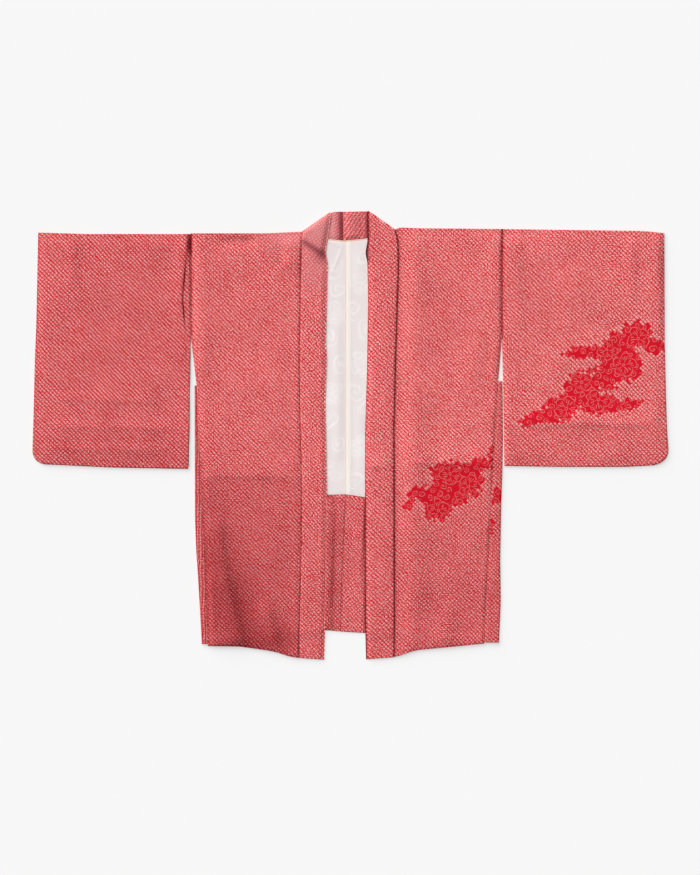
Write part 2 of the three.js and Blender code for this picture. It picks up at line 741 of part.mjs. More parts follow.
function add(name, geometry, finish) {
  const mesh = new THREE.Mesh(geometry, new THREE.MeshStandardMaterial(finish));
  mesh.name = name;
  haori.add(mesh);
}

for (const side of [RIGHT, LEFT]) {
  add(`body_${side.name}`, body(side), RED);
  add(`sleeve_${side.name}`, sleeve(side), RED);
  add(`gusset_${side.name}`, gusset(side), RED);
  add(`collar_${side.name}`, collar(side), RED);
  add(`lining_back_${side.name}`, backLining(side), WHITE_SILK);
  add(`sleeve_lining_${side.name}`, sleeveLining(side), CREAM_SILK);
}

export default haori;
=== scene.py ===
"""A haori laid flat on its back with the fronts uppermost, in red silk tie-dyed all over in small dots.

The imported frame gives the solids. Each cloth piece is a thin shell on the form of its solid, worked out in
millimetres as whole numpy arrays and put into its mesh in metres. +X is the wearer's left, +Y the neck and
+Z up.
"""

import math
from types import SimpleNamespace

import bpy
import numpy as np
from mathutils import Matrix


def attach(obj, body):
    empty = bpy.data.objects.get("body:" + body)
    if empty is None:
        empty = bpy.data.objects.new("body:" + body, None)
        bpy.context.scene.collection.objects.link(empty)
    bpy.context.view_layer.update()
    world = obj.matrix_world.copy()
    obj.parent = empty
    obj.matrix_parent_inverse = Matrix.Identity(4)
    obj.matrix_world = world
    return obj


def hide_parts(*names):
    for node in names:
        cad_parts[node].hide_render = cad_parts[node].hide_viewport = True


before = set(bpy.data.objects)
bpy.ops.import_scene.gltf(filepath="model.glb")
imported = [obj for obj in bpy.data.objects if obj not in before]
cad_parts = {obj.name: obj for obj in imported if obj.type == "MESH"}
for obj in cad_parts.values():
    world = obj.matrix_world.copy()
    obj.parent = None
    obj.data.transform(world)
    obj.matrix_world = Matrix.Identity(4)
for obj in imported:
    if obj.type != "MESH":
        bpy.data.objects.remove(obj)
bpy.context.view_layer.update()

bl_info = {
    "name": "Haori laid flat",
    "version": (1, 0, 0),
    "blender": (4, 5, 0),
    "location": "View3D > Sidebar > Haori",
    "description": "Builds the cloth pieces of a haori on its packed frame, with their silks and a studio",
    "category": "Object",
}

MM = 0.001

# ---- Layers of cloth, in millimetres ----

CLOTH = 1.3  # the crimped outer silk
GAP = 0.3  # between layers that lie on each other, and at seams
LINING = 0.8
COLLAR = 2.9  # the folded collar band with its stiffening
COLLAR_SKIN = 0.7  # the cloth round the outside of the band
BACK_Z = CLOTH / 2
INSIDE_Z = CLOTH + GAP + CLOTH / 2  # turned-up hem and back lining
FRONT_Z = 2 * (CLOTH + GAP) + CLOTH / 2
COLLAR_UNDER_Z = COLLAR / 2
COLLAR_OVER_Z = 2 * (CLOTH + GAP) + COLLAR / 2
SLEEVE_TOP_Z = 4.85  # middle of the upper cloth of a sleeve
SLEEVE_LINING_Z = (1.9, 3.6)  # middles of the lower and upper lining inside a sleeve


# ---- Edges ----


def line(*points, ease=12.0):
    """A smooth edge: straight between its (along, across) points, averaged over `ease` to either side."""
    table = np.array(sorted(points), float)
    shares = np.array([1, 2, 3, 2, 1]) / 9
    offsets = np.array([-1, -0.5, 0, 0.5, 1]) * ease

    def across(along):
        along = np.asarray(along, float)
        return sum(w * np.interp(along + d, *table.T) for w, d in zip(shares, offsets))

    return across


# Edges of the two sides, the wearer's right at -X. An edge in y gives x, and an edge in x gives y. The rest
# says how tightly each side is sewn: the drop of its cloth into a seam, and the depth and width of the
# shade painted into the cloth's colour there, along the gusset's crease (a painted highlight below 0) and
# along the band's edges and the sleeve's seam.
RIGHT = SimpleNamespace(
    name="right",
    sign=-1,
    shoulder=line((-318.6, 403.4), (-170, 403.4), (-98, 406.6)),
    front_side=line((403, -318.6), (194, -318.6), (99, -307.4), (-422, -285)),
    crease=line((99, -311.8), (-170, -311), (-230, -308.6), (-290, -304.6), (-350, -301), (-418, -297.4)),
    gusset_top=99,
    gusset_hem=-418,
    front_hem=line((-285, -422), (-221, -423), (-171, -430), (-149, -434), (-125, -442), (-106, -445.6),
                   ease=6),
    back_hem=line((-252, -414), (-49, -390), (-19.6, -393)),
    facing_top=line((-300, -122), (-46, -120), (-10, -118.6)),
    sleeve_top=line((-625, 404.6), (-533, 402), (-318.9, 402)),
    sleeve_bottom=line((-636, -58), (-581, -60), (-481, -65), (-325, -68)),
    sleeve_inner=line((402, -318.9), (194, -318.9), (150, -322), (0, -323.4), (-68, -325)),
    sleeve_outer=line((404.6, -625), (230, -628.6), (160, -631), (50, -633.6), (-30, -636)),
    corner=26,
    armhole_end=194,
    lining_shows=2.3,
    pinch=0.1,
    crease_shade=0.34,
    seam_gap=0.06,
    seam_depth=0.17,
    seam_width=1.6,
    valley_depth=0.0,
    edge_depth=0.18,
    collar_turn=0.25,
    side_ease=0.6,
    collar_ease=2.4,
    sleeve_turn=0.8,
    sleeve_depth=0.5,
    sleeve_valley=0.0,
    band_dip=0.3,
    band_depth=0.1,
)

LEFT = SimpleNamespace(
    name="left",
    sign=1,
    shoulder=line((92, 410.2), (100, 415), (140, 413.5), (302.8, 412), ease=5),
    front_side=line((412, 302.8), (196, 302.8), (108, 295), (-417, 267)),
    crease=line((108, 303.6), (70, 304.4), (-10, 305), (-80, 303.6), (-140, 301.4), (-250, 299.4),
                (-330, 300.6), (-415, 297)),
    gusset_top=108,
    gusset_hem=-415,
    front_hem=line((85, -444), (97, -442), (119, -434), (135, -430), (219, -422), (267, -417), ease=6),
    back_hem=line((-19.6, -393), (29, -396), (267, -412)),
    facing_top=line((-10, -118.6), (31, -125), (300, -135)),
    sleeve_top=line((303.2, 412), (595, 408), (628, 404)),
    sleeve_bottom=line((307.6, -62), (419, -64), (547, -64), (636, -59)),
    sleeve_inner=line((412, 303.2), (196, 303.2), (60, 306), (-62, 307.8)),
    sleeve_outer=line((404, 628), (160, 629), (70, 631), (10, 633), (-30, 636)),
    corner=30,
    armhole_end=196,
    lining_shows=0.5,
    pinch=0.72,
    crease_shade=-0.12,
    seam_gap=0.12,
    seam_depth=0.86,
    seam_width=2.2,
    valley_depth=0.08,
    edge_depth=0.0,
    collar_turn=0.8,
    side_ease=1.4,
    collar_ease=0.22,
    sleeve_turn=1.6,
    sleeve_depth=0.85,
    sleeve_valley=0.12,
    band_dip=0.7,
    band_depth=0.6,
)
SIDES = {"right": RIGHT, "left": LEFT}
CENTRE_BACK = line((388, -9.2), (-120, -9.2), (-296, -17), (-396, -19.6))
CUFF_OPENING = 230
GUSSET_TOP_WIDTH = 18
GUSSET_HEM_WIDTH = 60

# Rough lengths in millimetres that set how many rows and columns a piece takes, and how far apart those lie.
BODY_WIDTH = 215
NECK_WIDTH = 88
FACING_LENGTH = 270
BACK_LENGTH = 800
FRONT_LENGTH = 840
SLEEVE_WIDTH = 318
SLEEVE_DEPTH = 468
GUSSET_LENGTH = 520
BAND_WIDTH = 56
LINING_WIDTH = 200
LINING_LENGTH = 510
SLEEVE_LINING_DEPTH = 60
FINE_STEP = 3.4
FRONT_STEP = 3.45
HIDDEN_STEP = 12.0
HALF_TURN_ROWS = 8  # rows round a fold

# Rough heights at which an edge is read once for every column.
HEM_Y = -400
FRONT_HEM_Y = -420
FACING_TOP_Y = -120
NECK_Y = 392
SHOULDER_Y = 400

# Where cloth eases from one state to another, in millimetres along it.
ARMHOLE_EASE = 20  # from sewn above the armhole's end to free below
HEM_START = 6  # past the back's hem, where a front begins to sink towards the floor
HEM_EASE = 26
SHOULDER_EASE = 26
OVERHANG_Z = 3.0  # height that a front keeps past the back's hem
RETURN_LIFT = 0.9  # of the front's hem over its turned-up edge
HEM_RADIUS = 0.8
RETURN_LENGTH = 14

BAND_EDGE = 1.5  # radius of the collar band's edges
BAND_THIN_HALF = 0.85  # half its thickness along the free edge
BAND_THIN_WIDTH = 12
BAND_TURN_ROWS = 13

# Lines across the collar band from its seam edge to its free edge: seam x, seam y, free x, free y. The rows
# before the fold lie behind the neck with the inner face up, and the rows after it run down in front.
COLLAR_BEHIND = {
    "right": [
        (-14.15, 388.7, -14.15, 446.4), (-46, 392.4, -24, 446.6),
        (-75, 399.2, -32, 446.4), (-95.6, 404.6, -38.4, 444.2),
    ],
    "left": [
        (-13.85, 388.7, -13.85, 446.4), (31, 392.8, 8, 446.6),
        (60, 399.6, 24, 447.4), (88.6, 408, 33.6, 446.8),
    ],
}
COLLAR_IN_FRONT = {
    "right": [
        (-95.6, 404.6, -38.4, 444.2), (-97.2, 394, -43, 406),
        (-97.7, 384, -48, 380), (-97.7, 372, -50, 364),
        (-98.6, 350, -45, 344), (-99.3, 300, -46.4, 300),
        (-100.7, 190, -50, 190), (-100.7, 154, -47.4, 154),
        (-100.8, 70, -50.6, 70), (-97.6, -50, -48.4, -50),
        (-96.5, -130, -47, -130), (-98.2, -250, -48, -250),
        (-101.5, -380, -50.6, -382), (-103, -445.8, -52.4, -449.4),
    ],
    "left": [
        (88.6, 408, 33.6, 446.8), (93, 396, 33.8, 412),
        (94.4, 384, 34, 388), (95.4, 366, 29.8, 364),
        (95.6, 346, 33.6, 346), (93.5, 270, 35, 270),
        (89.3, 130, 33, 130), (86.7, 10, 29, 10),
        (87.2, -90, 28.8, -90), (87.3, -250, 28.9, -250),
        (87.5, -380, 29.4, -384), (86.5, -444.6, 31, -448.6),
    ],
}

for side in SIDES.values():
    seam_points = ((seam_y, seam_x) for seam_x, seam_y, _, _ in COLLAR_IN_FRONT[side.name])
    side.collar_seam = line(*seam_points, ease=5)

# ---- Folds ----

# Creases and soft folds by piece, each along a straight run: x and y of its start, x and y of its end, its
# widths to the left and right of the run, and its rise, below 0 for a trough.
FOLDS = {
    # beside the armhole, under the shoulder and towards the collar
    "body_right": [
        (-296, 402, -292, 120, 12, 40, 1.4), (-262, 386, -192, 388, 7, 12, -3.4),
        (-118, 400, -124, 322, 26, 12, 3.2), (-170, 330, -122, 260, 22, 20, 1.2),
        (-109, 392, -111, -420, 6, 5, 0.9), (-232, 112, -112, -16, 12, 16, 1.4),
        (-306, 56, -262, -8, 9, 14, 1.5),
        # its press crease and the long folds that open towards the hem
        (-290, -78, -112, -82, 34, 7, 1.9), (-266, -160, -254, -290, 12, 26, 4.6),
        (-256, -270, -218, -430, 14, 46, 7.4), (-172, -330, -148, -428, 12, 24, 4.4),
        (-282, -250, -276, -410, 8, 9, 1.6),
    ],
    # the wearer's left front
    "body_left": [
        (130, 402, 127, -424, 26, 52, 2.6), (286, 402, 286, 190, 26, 8, 1.3),
        (286, 190, 284, 110, 18, 6, 1.8), (118, -55, 282, -58, 26, 7, 2.0),
        (188, 300, 172, 240, 28, 28, -0.9), (248, 190, 236, 60, 24, 30, 1.6),
        (196, -330, 190, -424, 16, 18, 1.8),
    ],
    # the sleeves
    "sleeve_right": [
        (-340, 402, -342, 220, 30, 10, 1.2), (-323, 400, -323, 350, 4, 4, -1.4),
        (-330, 352, -336, 276, 2.2, 2.2, -0.4), (-336, 278, -330, 216, 2.2, 2.2, -0.4),
        (-328, 180, -329, 144, 2.4, 3, -1.0), (-553, 398, -556, 290, 12, 12, 1.8),
        (-600, 72, -370, 66, 12, 7, 1.1), (-600, 18, -350, 12, 10, 7, 1.2),
        (-600, -26, -350, -30, 9, 7, 1.0), (-480, 210, -390, 60, 26, 30, 1.6),
    ],
    "sleeve_left": [
        (330, 402, 332, 196, 14, 44, 3.0), (330, 24, 606, 22, 20, 7, 1.9),
        (560, 398, 563, 250, 12, 12, 1.9), (616, 396, 618, 200, 14, 7, 1.8),
        (430, 340, 486, 220, 26, 30, 1.4),
    ],
    # the collar band in front
    "collar_right": [
        (-92, 366, -60, 346, 14, 10, 1.4), (-56, 330, -56, -430, 10, 6, 0.9),
    ],
    "collar_left": [
        (72, 380, 70, -430, 20, 12, 0.7), (34, -62, 78, -64, 18, 6, 1.6),
    ],
    # the turned-up hem and the back lining between the fronts
    "facing": [
        (-44, -126, -48, -386, 6, 7, 2.6), (14, -136, 10, -388, 16, 14, 0.6),
    ],
    "lining_back_right": [
        (-15, 376, -39, 320, 1.6, 1.8, 0.9), (-44, 388, -15, 375, 1.6, 1.8, 0.7),
        (-26, 240, -24, -60, 8, 12, 1.0),
    ],
    "lining_back_left": [
        (14, 376, 20, 300, 12, 12, 0.8), (18, 60, 24, -90, 10, 10, 0.8),
    ],
}

# Painted shade over folds, troughs, seam lines and shadowed edges, each an ellipse that fades as a bell: x
# and y of its middle, half sizes across and up, turn in degrees, the share of light lost, below 0 a painted
# highlight, and the haze, how far the colour is mixed into an even pink, which gives the painted shade on
# the collar's fold its mauve.
PAINTED_SHADE_PATCHES = {
    "body_right": [
        (-210, -320, 150, 240, 0, 0.17, 0), (-198, -424, 42, 46, 0, 0.20, 0),
        (-222, -372, 50, 118, 12, 0.34, 0), (-258, -230, 26, 150, 0, 0.12, 0),
        (-138, -408, 28, 34, 0, 0.30, 0), (-296, -260, 34, 170, 0, 0.24, 0),
        (-226, 396, 46, 9, 0, 0.22, 0), (-130, 400, 50, 26, 0, -0.04, 0.45),
    ],
    "body_left": [
        (190, 260, 50, 60, 0, 0.05, 0), (180, -340, 140, 190, 0, 0.14, 0),
        (292, -330, 10, 90, 4, 0.14, 0),
    ],
    "facing": [
        (0, -260, 90, 190, 0, 0.17, 0), (-43, -240, 11, 190, 0, 0.62, 0),
        (28.4, -260, 2.6, 170, 0, 0.92, 0),
    ],
    "sleeve_right": [
        (-480, 170, 190, 260, 0, 0.05, 0), (-322.6, 382, 5.2, 27, 0, 0.82, 0),
        (-332, 314, 2.0, 44, -4.9, 0.98, 0), (-333.4, 248, 1.8, 32, 4.2, 0.96, 0),
        (-328, 163, 1.6, 17, 4, 0.35, 0), (-470, -30, 180, 60, 0, 0.05, 0),
    ],
    "sleeve_left": [
        (306.5, 310, 4.5, 110, 0, 0.16, 0), (634, 330, 16, 70, 0, 0.16, 0),
    ],
    "collar_right": [
        (-80, -360, 50, 130, 0, 0.10, 0), (-66, 408, 34, 30, 30, 0, 0.8),
        (-79, 376.5, 34, 7.5, -34, 0.49, 0.6), (-58, 361, 15, 10, -36, 0.45, 0.4),
        (-34, 420, 9, 60, 0, -0.02, 0.6), (-18, 418, 7, 80, 0, 0.72, 0.5),
        (-76, 330, 40, 40, 0, 0, 0.4),
    ],
    "collar_left": [
        (32.4, 424, 2.8, 50, 0, 0.72, 0.6), (33, 372, 5, 30, 0, 0.50, 0.5),
        (4, 420, 24, 40, 0, 0.10, 0.2), (60, -360, 50, 130, 0, 0.05, 0),
    ],
}

# Level press lines: the cloth below one takes painted shade, losing this share of its light.
PRESS_LINE_SHADE = {
    "body_right": (-82, 0.11),
    "collar_right": (-80, 0.04),
    "body_left": (-62, 0.05),
    "collar_left": (-64, 0.05),
    "sleeve_left": (20, 0.05),
    "sleeve_right": (2, 0.03),
}


def smooth(t):
    """Runs from 0 to 1 as t does, level at both ends: 3t^2 - 2t^3."""
    t = np.clip(t, 0, 1)
    return t * t * (3 - 2 * t)


def mix(a, b, t):
    return a + (b - a) * t


def round_edge(inside, radius):
    """Height of a quarter circle: 0 on an edge, 1 from `radius` inwards."""
    return np.sqrt(1 - (1 - np.clip(inside / radius, 0, 1)) ** 2)


FOLD_EASE = 45  # a fold eases out over this stretch at its ends, where it has FOLD_START of that behind it
FOLD_START = 0.3


def fold_height(piece, x, y):
    """Each fold is a bell across its run, exp(-(away / width)^2), and eases out at its two ends."""
    total = np.zeros_like(x)
    for x0, y0, x1, y1, left_width, right_width, rise in FOLDS.get(piece, ()):
        length = math.hypot(x1 - x0, y1 - y0)
        run_x, run_y = (x1 - x0) / length, (y1 - y0) / length
        along = (x - x0) * run_x + (y - y0) * run_y
        left = (y - y0) * run_x - (x - x0) * run_y
        width = np.where(left > 0, left_width, right_width)
        ease = min(0.5 * length, FOLD_EASE)
        ends = smooth(along / ease + FOLD_START) * smooth((length - along) / ease + FOLD_START)
        total += rise * np.exp(-((left / width) ** 2)) * ends
    return total


def painted_shade(piece, x, y):
    """Share of light left by the painted shade, 1 where no patch or press line reaches, and its haze, from 0
    to 1.
    """
    press_y, darker = PRESS_LINE_SHADE.get(piece, (0, 0))
    tone = 1 - darker * smooth((press_y - y) / 6) + 0 * x
    haze = np.zeros_like(tone)
    for x0, y0, half_across, half_up, degrees, depth, dull in PAINTED_SHADE_PATCHES.get(piece, ()):
        turn = math.radians(degrees)
        along = (x - x0) * math.cos(turn) + (y - y0) * math.sin(turn)
        across = (y - y0) * math.cos(turn) - (x - x0) * math.sin(turn)
        bell = np.exp(-((along / half_across) ** 2) - (across / half_up) ** 2)
        tone = tone * (1 - depth * bell)
        haze = haze + dull * bell
    return tone, np.clip(haze, 0, 1)


WAVES = 7


def waves(piece, x, y, height):
    """The unevenness of cloth smoothed by hand: sine waves across set directions, 55 to 200 mm long."""
    phase = sum(map(ord, piece))
    total = np.zeros_like(x)
    for k in range(WAVES):
        turn = 0.5 + 2.4 * k
        length = 55 + 24 * k
        total += np.sin(2 * np.pi * (x * np.cos(turn) + y * np.sin(turn)) / length + phase + 1.7 * k)
    return height * total / WAVES


# Painted shade along the rounded top folds of the body and sleeves, taking down the light on their rims.
EDGE_SHADE = (0.22, 3)  # along a top fold: how deep and how wide


def seam_shade(inside, depth, width):
    """Share of light left by painted shade along a seam, edge or fold; a depth below 0 paints light."""
    return 1 - depth * np.exp(-((inside / width) ** 2))


def relief(piece, loft, x, y, inside, reach=9.0, wave=1.6):
    """Height above the layers below: loft, folds and waves, down to nothing at the seams round the
    piece."""
    height = loft + fold_height(piece, x, y) + waves(piece, x, y, wave)
    return np.maximum(0, height) * smooth(inside / reach)


# ---- Meshes ----


def run(length, step, close=0.35):
    """Shares from 0 to 1 along `length`: steps grow from `close` at both ends to `step` in the middle."""
    steps = [close]
    while sum(steps) < length / 2 and steps[-1] < step:
        steps.append(min(step, steps[-1] * 1.28))
    edge = np.cumsum([0] + steps)
    edge = edge[edge < length / 2]
    middle = np.linspace(edge[-1], length - edge[-1], max(2, round((length - 2 * edge[-1]) / step) + 1))
    places = np.concatenate([edge[:-1], middle, (length - edge[:-1])[::-1]])
    return places / length


def quads(rows, columns, kept=None):
    """Corner numbers of the cells of a grid of points, row by row, as (cells, 4)."""
    start = (np.arange(rows - 1)[:, None] * columns + np.arange(columns - 1)).reshape(-1)
    cells = start[:, None] + np.array([0, 1, columns + 1, columns])
    return cells if kept is None else cells[kept.reshape(-1)]


def make_mesh(name, points, cells, uv, dye):
    """Joins points that share a place, drops the cells that close up, and stores one UV for each corner."""
    spots = np.round(points / 0.02).astype(np.int64)
    used = np.unique(cells)
    _, first, where = np.unique(spots[used], axis=0, return_index=True, return_inverse=True)
    number = np.zeros(len(points), np.int64)
    number[used] = where.reshape(-1)
    corners = number[cells]
    whole = np.all([corners[:, a] != corners[:, b] for a in range(4) for b in range(a)], axis=0)
    cells, corners = cells[whole], corners[whole]
    mesh = bpy.data.meshes.new(name)
    mesh.vertices.add(len(first))
    mesh.vertices.foreach_set("co", (points[used][first] * MM).astype(np.float32).reshape(-1))
    mesh.loops.add(corners.size)
    mesh.loops.foreach_set("vertex_index", corners.astype(np.int32).reshape(-1))
    mesh.polygons.add(len(corners))
    mesh.polygons.foreach_set("loop_start", np.arange(0, corners.size, 4, dtype=np.int32))
    mesh.polygons.foreach_set("use_smooth", np.ones(len(corners), bool))
    mesh.update(calc_edges=True)
    layer = mesh.uv_layers.new(name="cloth")
    layer.data.foreach_set("uv", (uv[cells] * MM).astype(np.float32).reshape(-1))
    for attribute, values in zip(("tone", "haze"), dye):
        stored = mesh.attributes.new(attribute, "FLOAT", "POINT")
        stored.data.foreach_set("value", values[used][first].astype(np.float32))
    mesh.validate()
    return mesh


def grid_piece(name, x, y, z, u, v, kept=None, dye=(1.0, 0.0), flipped=False):
    """A piece from arrays of rows by columns: the place and the cloth coordinates of every point. `kept`
    says which cells stay, and `flipped` turns the faces over."""
    points = np.stack(np.broadcast_arrays(x, y, z), -1).reshape(-1, 3)
    uv = np.stack(np.broadcast_arrays(u, v), -1).reshape(-1, 2)
    cells = quads(*x.shape, kept)
    cells = cells[:, ::-1] if flipped else cells
    mesh = make_mesh(name, points, cells, uv, [(d + 0 * z).reshape(-1) for d in dye])
    piece = bpy.data.objects.new(f"{name}_cloth", mesh)
    bpy.context.scene.collection.objects.link(piece)
    return piece


def tube(*upper_and_lower):
    """Closes each pair of upper and lower arrays into one: up the first and back down the second."""
    return [np.concatenate([upper, lower[-2::-1]]) for upper, lower in upper_and_lower]


def thicken(piece, thickness, offset=0.0):
    """Gives a sheet its thickness with a Solidify modifier: offset 0 on both sides, -1 inwards."""
    wall = piece.modifiers.new("cloth", "SOLIDIFY")
    wall.thickness = thickness * MM
    wall.offset = offset
    wall.use_even_offset = False


def dress(piece, node, material):
    """Gives a piece its silk and puts it in the place of its solid in the frame."""
    piece.data.materials.append(material)
    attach(piece, "root")
    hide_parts(node)


# ---- Body ----


def back_side(side, y):
    """Side edge of the back: straight down the armhole, in along the open slit, then the seam to the
    gusset."""

    def gusset_seam(at, whole):
        in_front = abs(side.crease(at) - side.front_side(at))
        return float(side.crease(at) - side.sign * (whole - in_front))

    armhole_x = float(side.front_side(side.armhole_end + 20))
    corners = [
        (side.gusset_hem, gusset_seam(side.gusset_hem, GUSSET_HEM_WIDTH)),
        (side.gusset_top, gusset_seam(side.gusset_top, GUSSET_TOP_WIDTH)),
        (side.armhole_end, armhole_x),
    ]
    return np.interp(y, *np.transpose(corners))


def neckline(side, x):
    """Upper edge of the back behind the neck, just clear of the collar band's seam edge."""
    seam = sorted((seam_x, seam_y - 2 * GAP) for seam_x, seam_y, _, _ in COLLAR_BEHIND[side.name])
    return np.interp(x, *np.transpose(seam))


def spread(side, y, edge, shares, neck_shares):
    """X of every column at heights y: from the side edge to the collar seam, then on to the centre seam."""
    seam = side.collar_seam(y) + side.sign * side.seam_gap
    centre = CENTRE_BACK(y) + side.sign * 0.05
    whole = np.concatenate([shares, 1 + neck_shares])
    outer = mix(edge(y), seam, np.minimum(whole, 1))
    return outer + (centre - seam) * np.maximum(whole - 1, 0)


def body_sheet(side, loft):
    """One length of cloth: the turned-up hem inside the back, the hem fold, the back, over the shoulder,
    the front and its own turned-up hem. Rows follow that path, columns run from the side edge to the centre
    back seam, and past the collar seam only the rows up to the neckline are kept."""
    shares = run(BODY_WIDTH, FINE_STEP)
    neck_shares = run(NECK_WIDTH, 4.5, 1.5)[1:]
    columns = len(shares) + len(neck_shares)
    skin = CLOTH / 2
    hem_radius = (INSIDE_Z - BACK_Z) / 2
    return_radius = HEM_RADIUS
    nominal = np.zeros(columns)

    def back_x(y):
        return spread(side, y, lambda at: back_side(side, at), shares, neck_shares)

    def front_x(y):
        return spread(side, y, side.front_side, shares, neck_shares)

    hem = side.back_hem(back_x(nominal + HEM_Y)) + hem_radius + skin
    edge_x = front_x(nominal + SHOULDER_Y)
    edge_y = side.shoulder(edge_x)
    top_z = front_height(side, edge_x, edge_y - 3, loft, nominal + HEM_Y)
    shoulder_radius = (top_z - BACK_Z) / 2
    shoulder = edge_y - shoulder_radius - skin
    is_main = np.arange(columns) < len(shares)
    top = np.where(is_main, shoulder, neckline(side, back_x(nominal + NECK_Y)))
    parts = []

    def add(x, y, z, v):
        parts.append(np.stack(np.broadcast_arrays(x, y, z, v), -1))

    # Distance along the cloth: y on the front, then on round the shoulder, down the back and up the facing.
    over_shoulder = 2 * shoulder + np.pi * shoulder_radius
    round_hem = over_shoulder - hem + np.pi * hem_radius

    t = run(FACING_LENGTH, 4.0)[:, None]
    y = mix(side.facing_top(back_x(nominal + FACING_TOP_Y)), hem, t)
    x = back_x(y)
    inside = np.minimum(np.abs(x - CENTRE_BACK(y)), np.minimum(y - hem + 6, side.facing_top(x) - y + 2))
    z = INSIDE_Z + relief("facing", 0.5, x, y, inside, 9, 0.5)
    add(x, y, z, round_hem + y - hem)

    turn = np.pi * (0.5 + np.arange(1, HALF_TURN_ROWS) / HALF_TURN_ROWS)[:, None]
    z = (INSIDE_Z + BACK_Z) / 2 + hem_radius * np.sin(turn)
    v = over_shoulder - hem + hem_radius * (1.5 * np.pi - turn)
    add(back_x(hem + 0 * turn), hem + hem_radius * np.cos(turn), z, v)

    t = run(BACK_LENGTH, HIDDEN_STEP, 2.0)[:, None]
    y = mix(hem, top, t)
    add(back_x(y), y, BACK_Z, over_shoulder - y)
    back_rows = sum(len(p) for p in parts)

    turn = np.pi * (-0.5 + np.arange(1, 10) / 10)[:, None]
    z = (top_z + BACK_Z) / 2 + shoulder_radius * np.sin(turn)
    add(front_x(shoulder + 0 * turn), shoulder + shoulder_radius * np.cos(turn), z,
        shoulder + shoulder_radius * (np.pi / 2 - turn))

    t = run(FRONT_LENGTH, FRONT_STEP)[:, None]
    low = side.front_hem(front_x(nominal + FRONT_HEM_Y)) + return_radius + skin
    y = mix(shoulder, low, t)
    x = front_x(y)
    z = front_height(side, x, y, loft, low)
    add(x, y, mix(top_z, z, smooth((shoulder - y) / 4)), y)

    turn = np.pi * (0.5 + np.arange(1, HALF_TURN_ROWS) / HALF_TURN_ROWS)[:, None]
    z = parts[-1][-1, :, 2] - return_radius + return_radius * np.sin(turn)
    x = front_x(low + 0 * turn)
    add(x, low + return_radius * np.cos(turn), z, low - return_radius * (turn - np.pi / 2))
    rise = RETURN_LENGTH * np.linspace(0, 1, 5)[:, None]
    z = parts[-2][-1, :, 2] - 2 * return_radius
    add(front_x(low + rise), low + rise, z, low - np.pi * return_radius - rise)

    sheet = np.concatenate(parts)
    rows = len(sheet)
    kept = (np.arange(columns - 1) < len(shares) - 1) | (np.arange(rows - 1)[:, None] < back_rows - 1)
    x, y, z, v = np.moveaxis(sheet, -1, 0)
    name = f"body_{side.name}"
    on_front = z > INSIDE_Z + 0.9
    tone, haze = (np.where(on_front, *pair) for pair in zip(painted_shade(name, x, y), painted_shade("facing", x, y)))
    sewn = smooth((y - side.armhole_end) / ARMHOLE_EASE)
    from_collar = np.abs(x - side.collar_seam(y))
    from_side = np.abs(x - side.front_side(y))
    # Painted shade along the collar seam and the valley beside it, the armhole, the side edge below the
    # waist, the centre back seam and the shoulder fold.
    shades = (
        seam_shade(from_collar, side.seam_depth, side.seam_width),
        seam_shade(from_collar, side.valley_depth, 9),
        mix(1, seam_shade(from_side, 0.75, 1.6), sewn * pinched(side, y)),
        mix(1, seam_shade(from_side, side.edge_depth, 5), smooth(-y / 60)),
        seam_shade(np.abs(x - CENTRE_BACK(y)), 0.4, 1.2),
        seam_shade(side.shoulder(x) - y, *EDGE_SHADE),
    )
    for shade in shades:
        tone = tone * shade
    return grid_piece(name, x, y, z, x, v, kept, (tone, haze))


def over_hem(side, x, y):
    """0 where a front lies on the back, 1 where it hangs past the back's hem."""
    return smooth((side.back_hem(x) - y + HEM_START) / HEM_EASE)


def pinched(side, y):
    """How tightly the armhole seam is drawn in, and how deep its painted shade is: fully at its top, and
    below that by the side's `pinch`.
    """
    return mix(side.pinch, 1, smooth((y - 345) / 20))


def front_height(side, x, y, loft, low):
    """Height of a front: its relief, less where it hangs over the back's hem, turned down into the seams
    and raised at the hem for its turned-up edge."""
    from_side = np.abs(x - side.front_side(y))
    from_collar = np.abs(x - side.collar_seam(y))
    inside = np.minimum(from_side, from_collar)
    eased = np.minimum(from_side * side.side_ease, from_collar * side.collar_ease)
    eased = np.minimum(eased, y - low + 5)
    z = FRONT_Z + relief(f"body_{side.name}", loft, x, y, eased)
    z = mix(FRONT_Z, z, 0.3 + 0.7 * smooth((side.shoulder(x) - y) / SHOULDER_EASE))
    z = z - (FRONT_Z - OVERHANG_Z) * over_hem(side, x, y)
    sewn = smooth((y - side.armhole_end) / ARMHOLE_EASE)
    at_side = mix(0.4, 1.1 * pinched(side, y), sewn)
    turned = 1 - round_edge(inside + 0.05, 1.6)
    seam_turn = np.where(from_collar < from_side, side.collar_turn, at_side) * turned
    room_for_return = RETURN_LIFT * smooth((low + 30 - y) / 16)
    return z - seam_turn + room_for_return


# ---- Sleeves ----


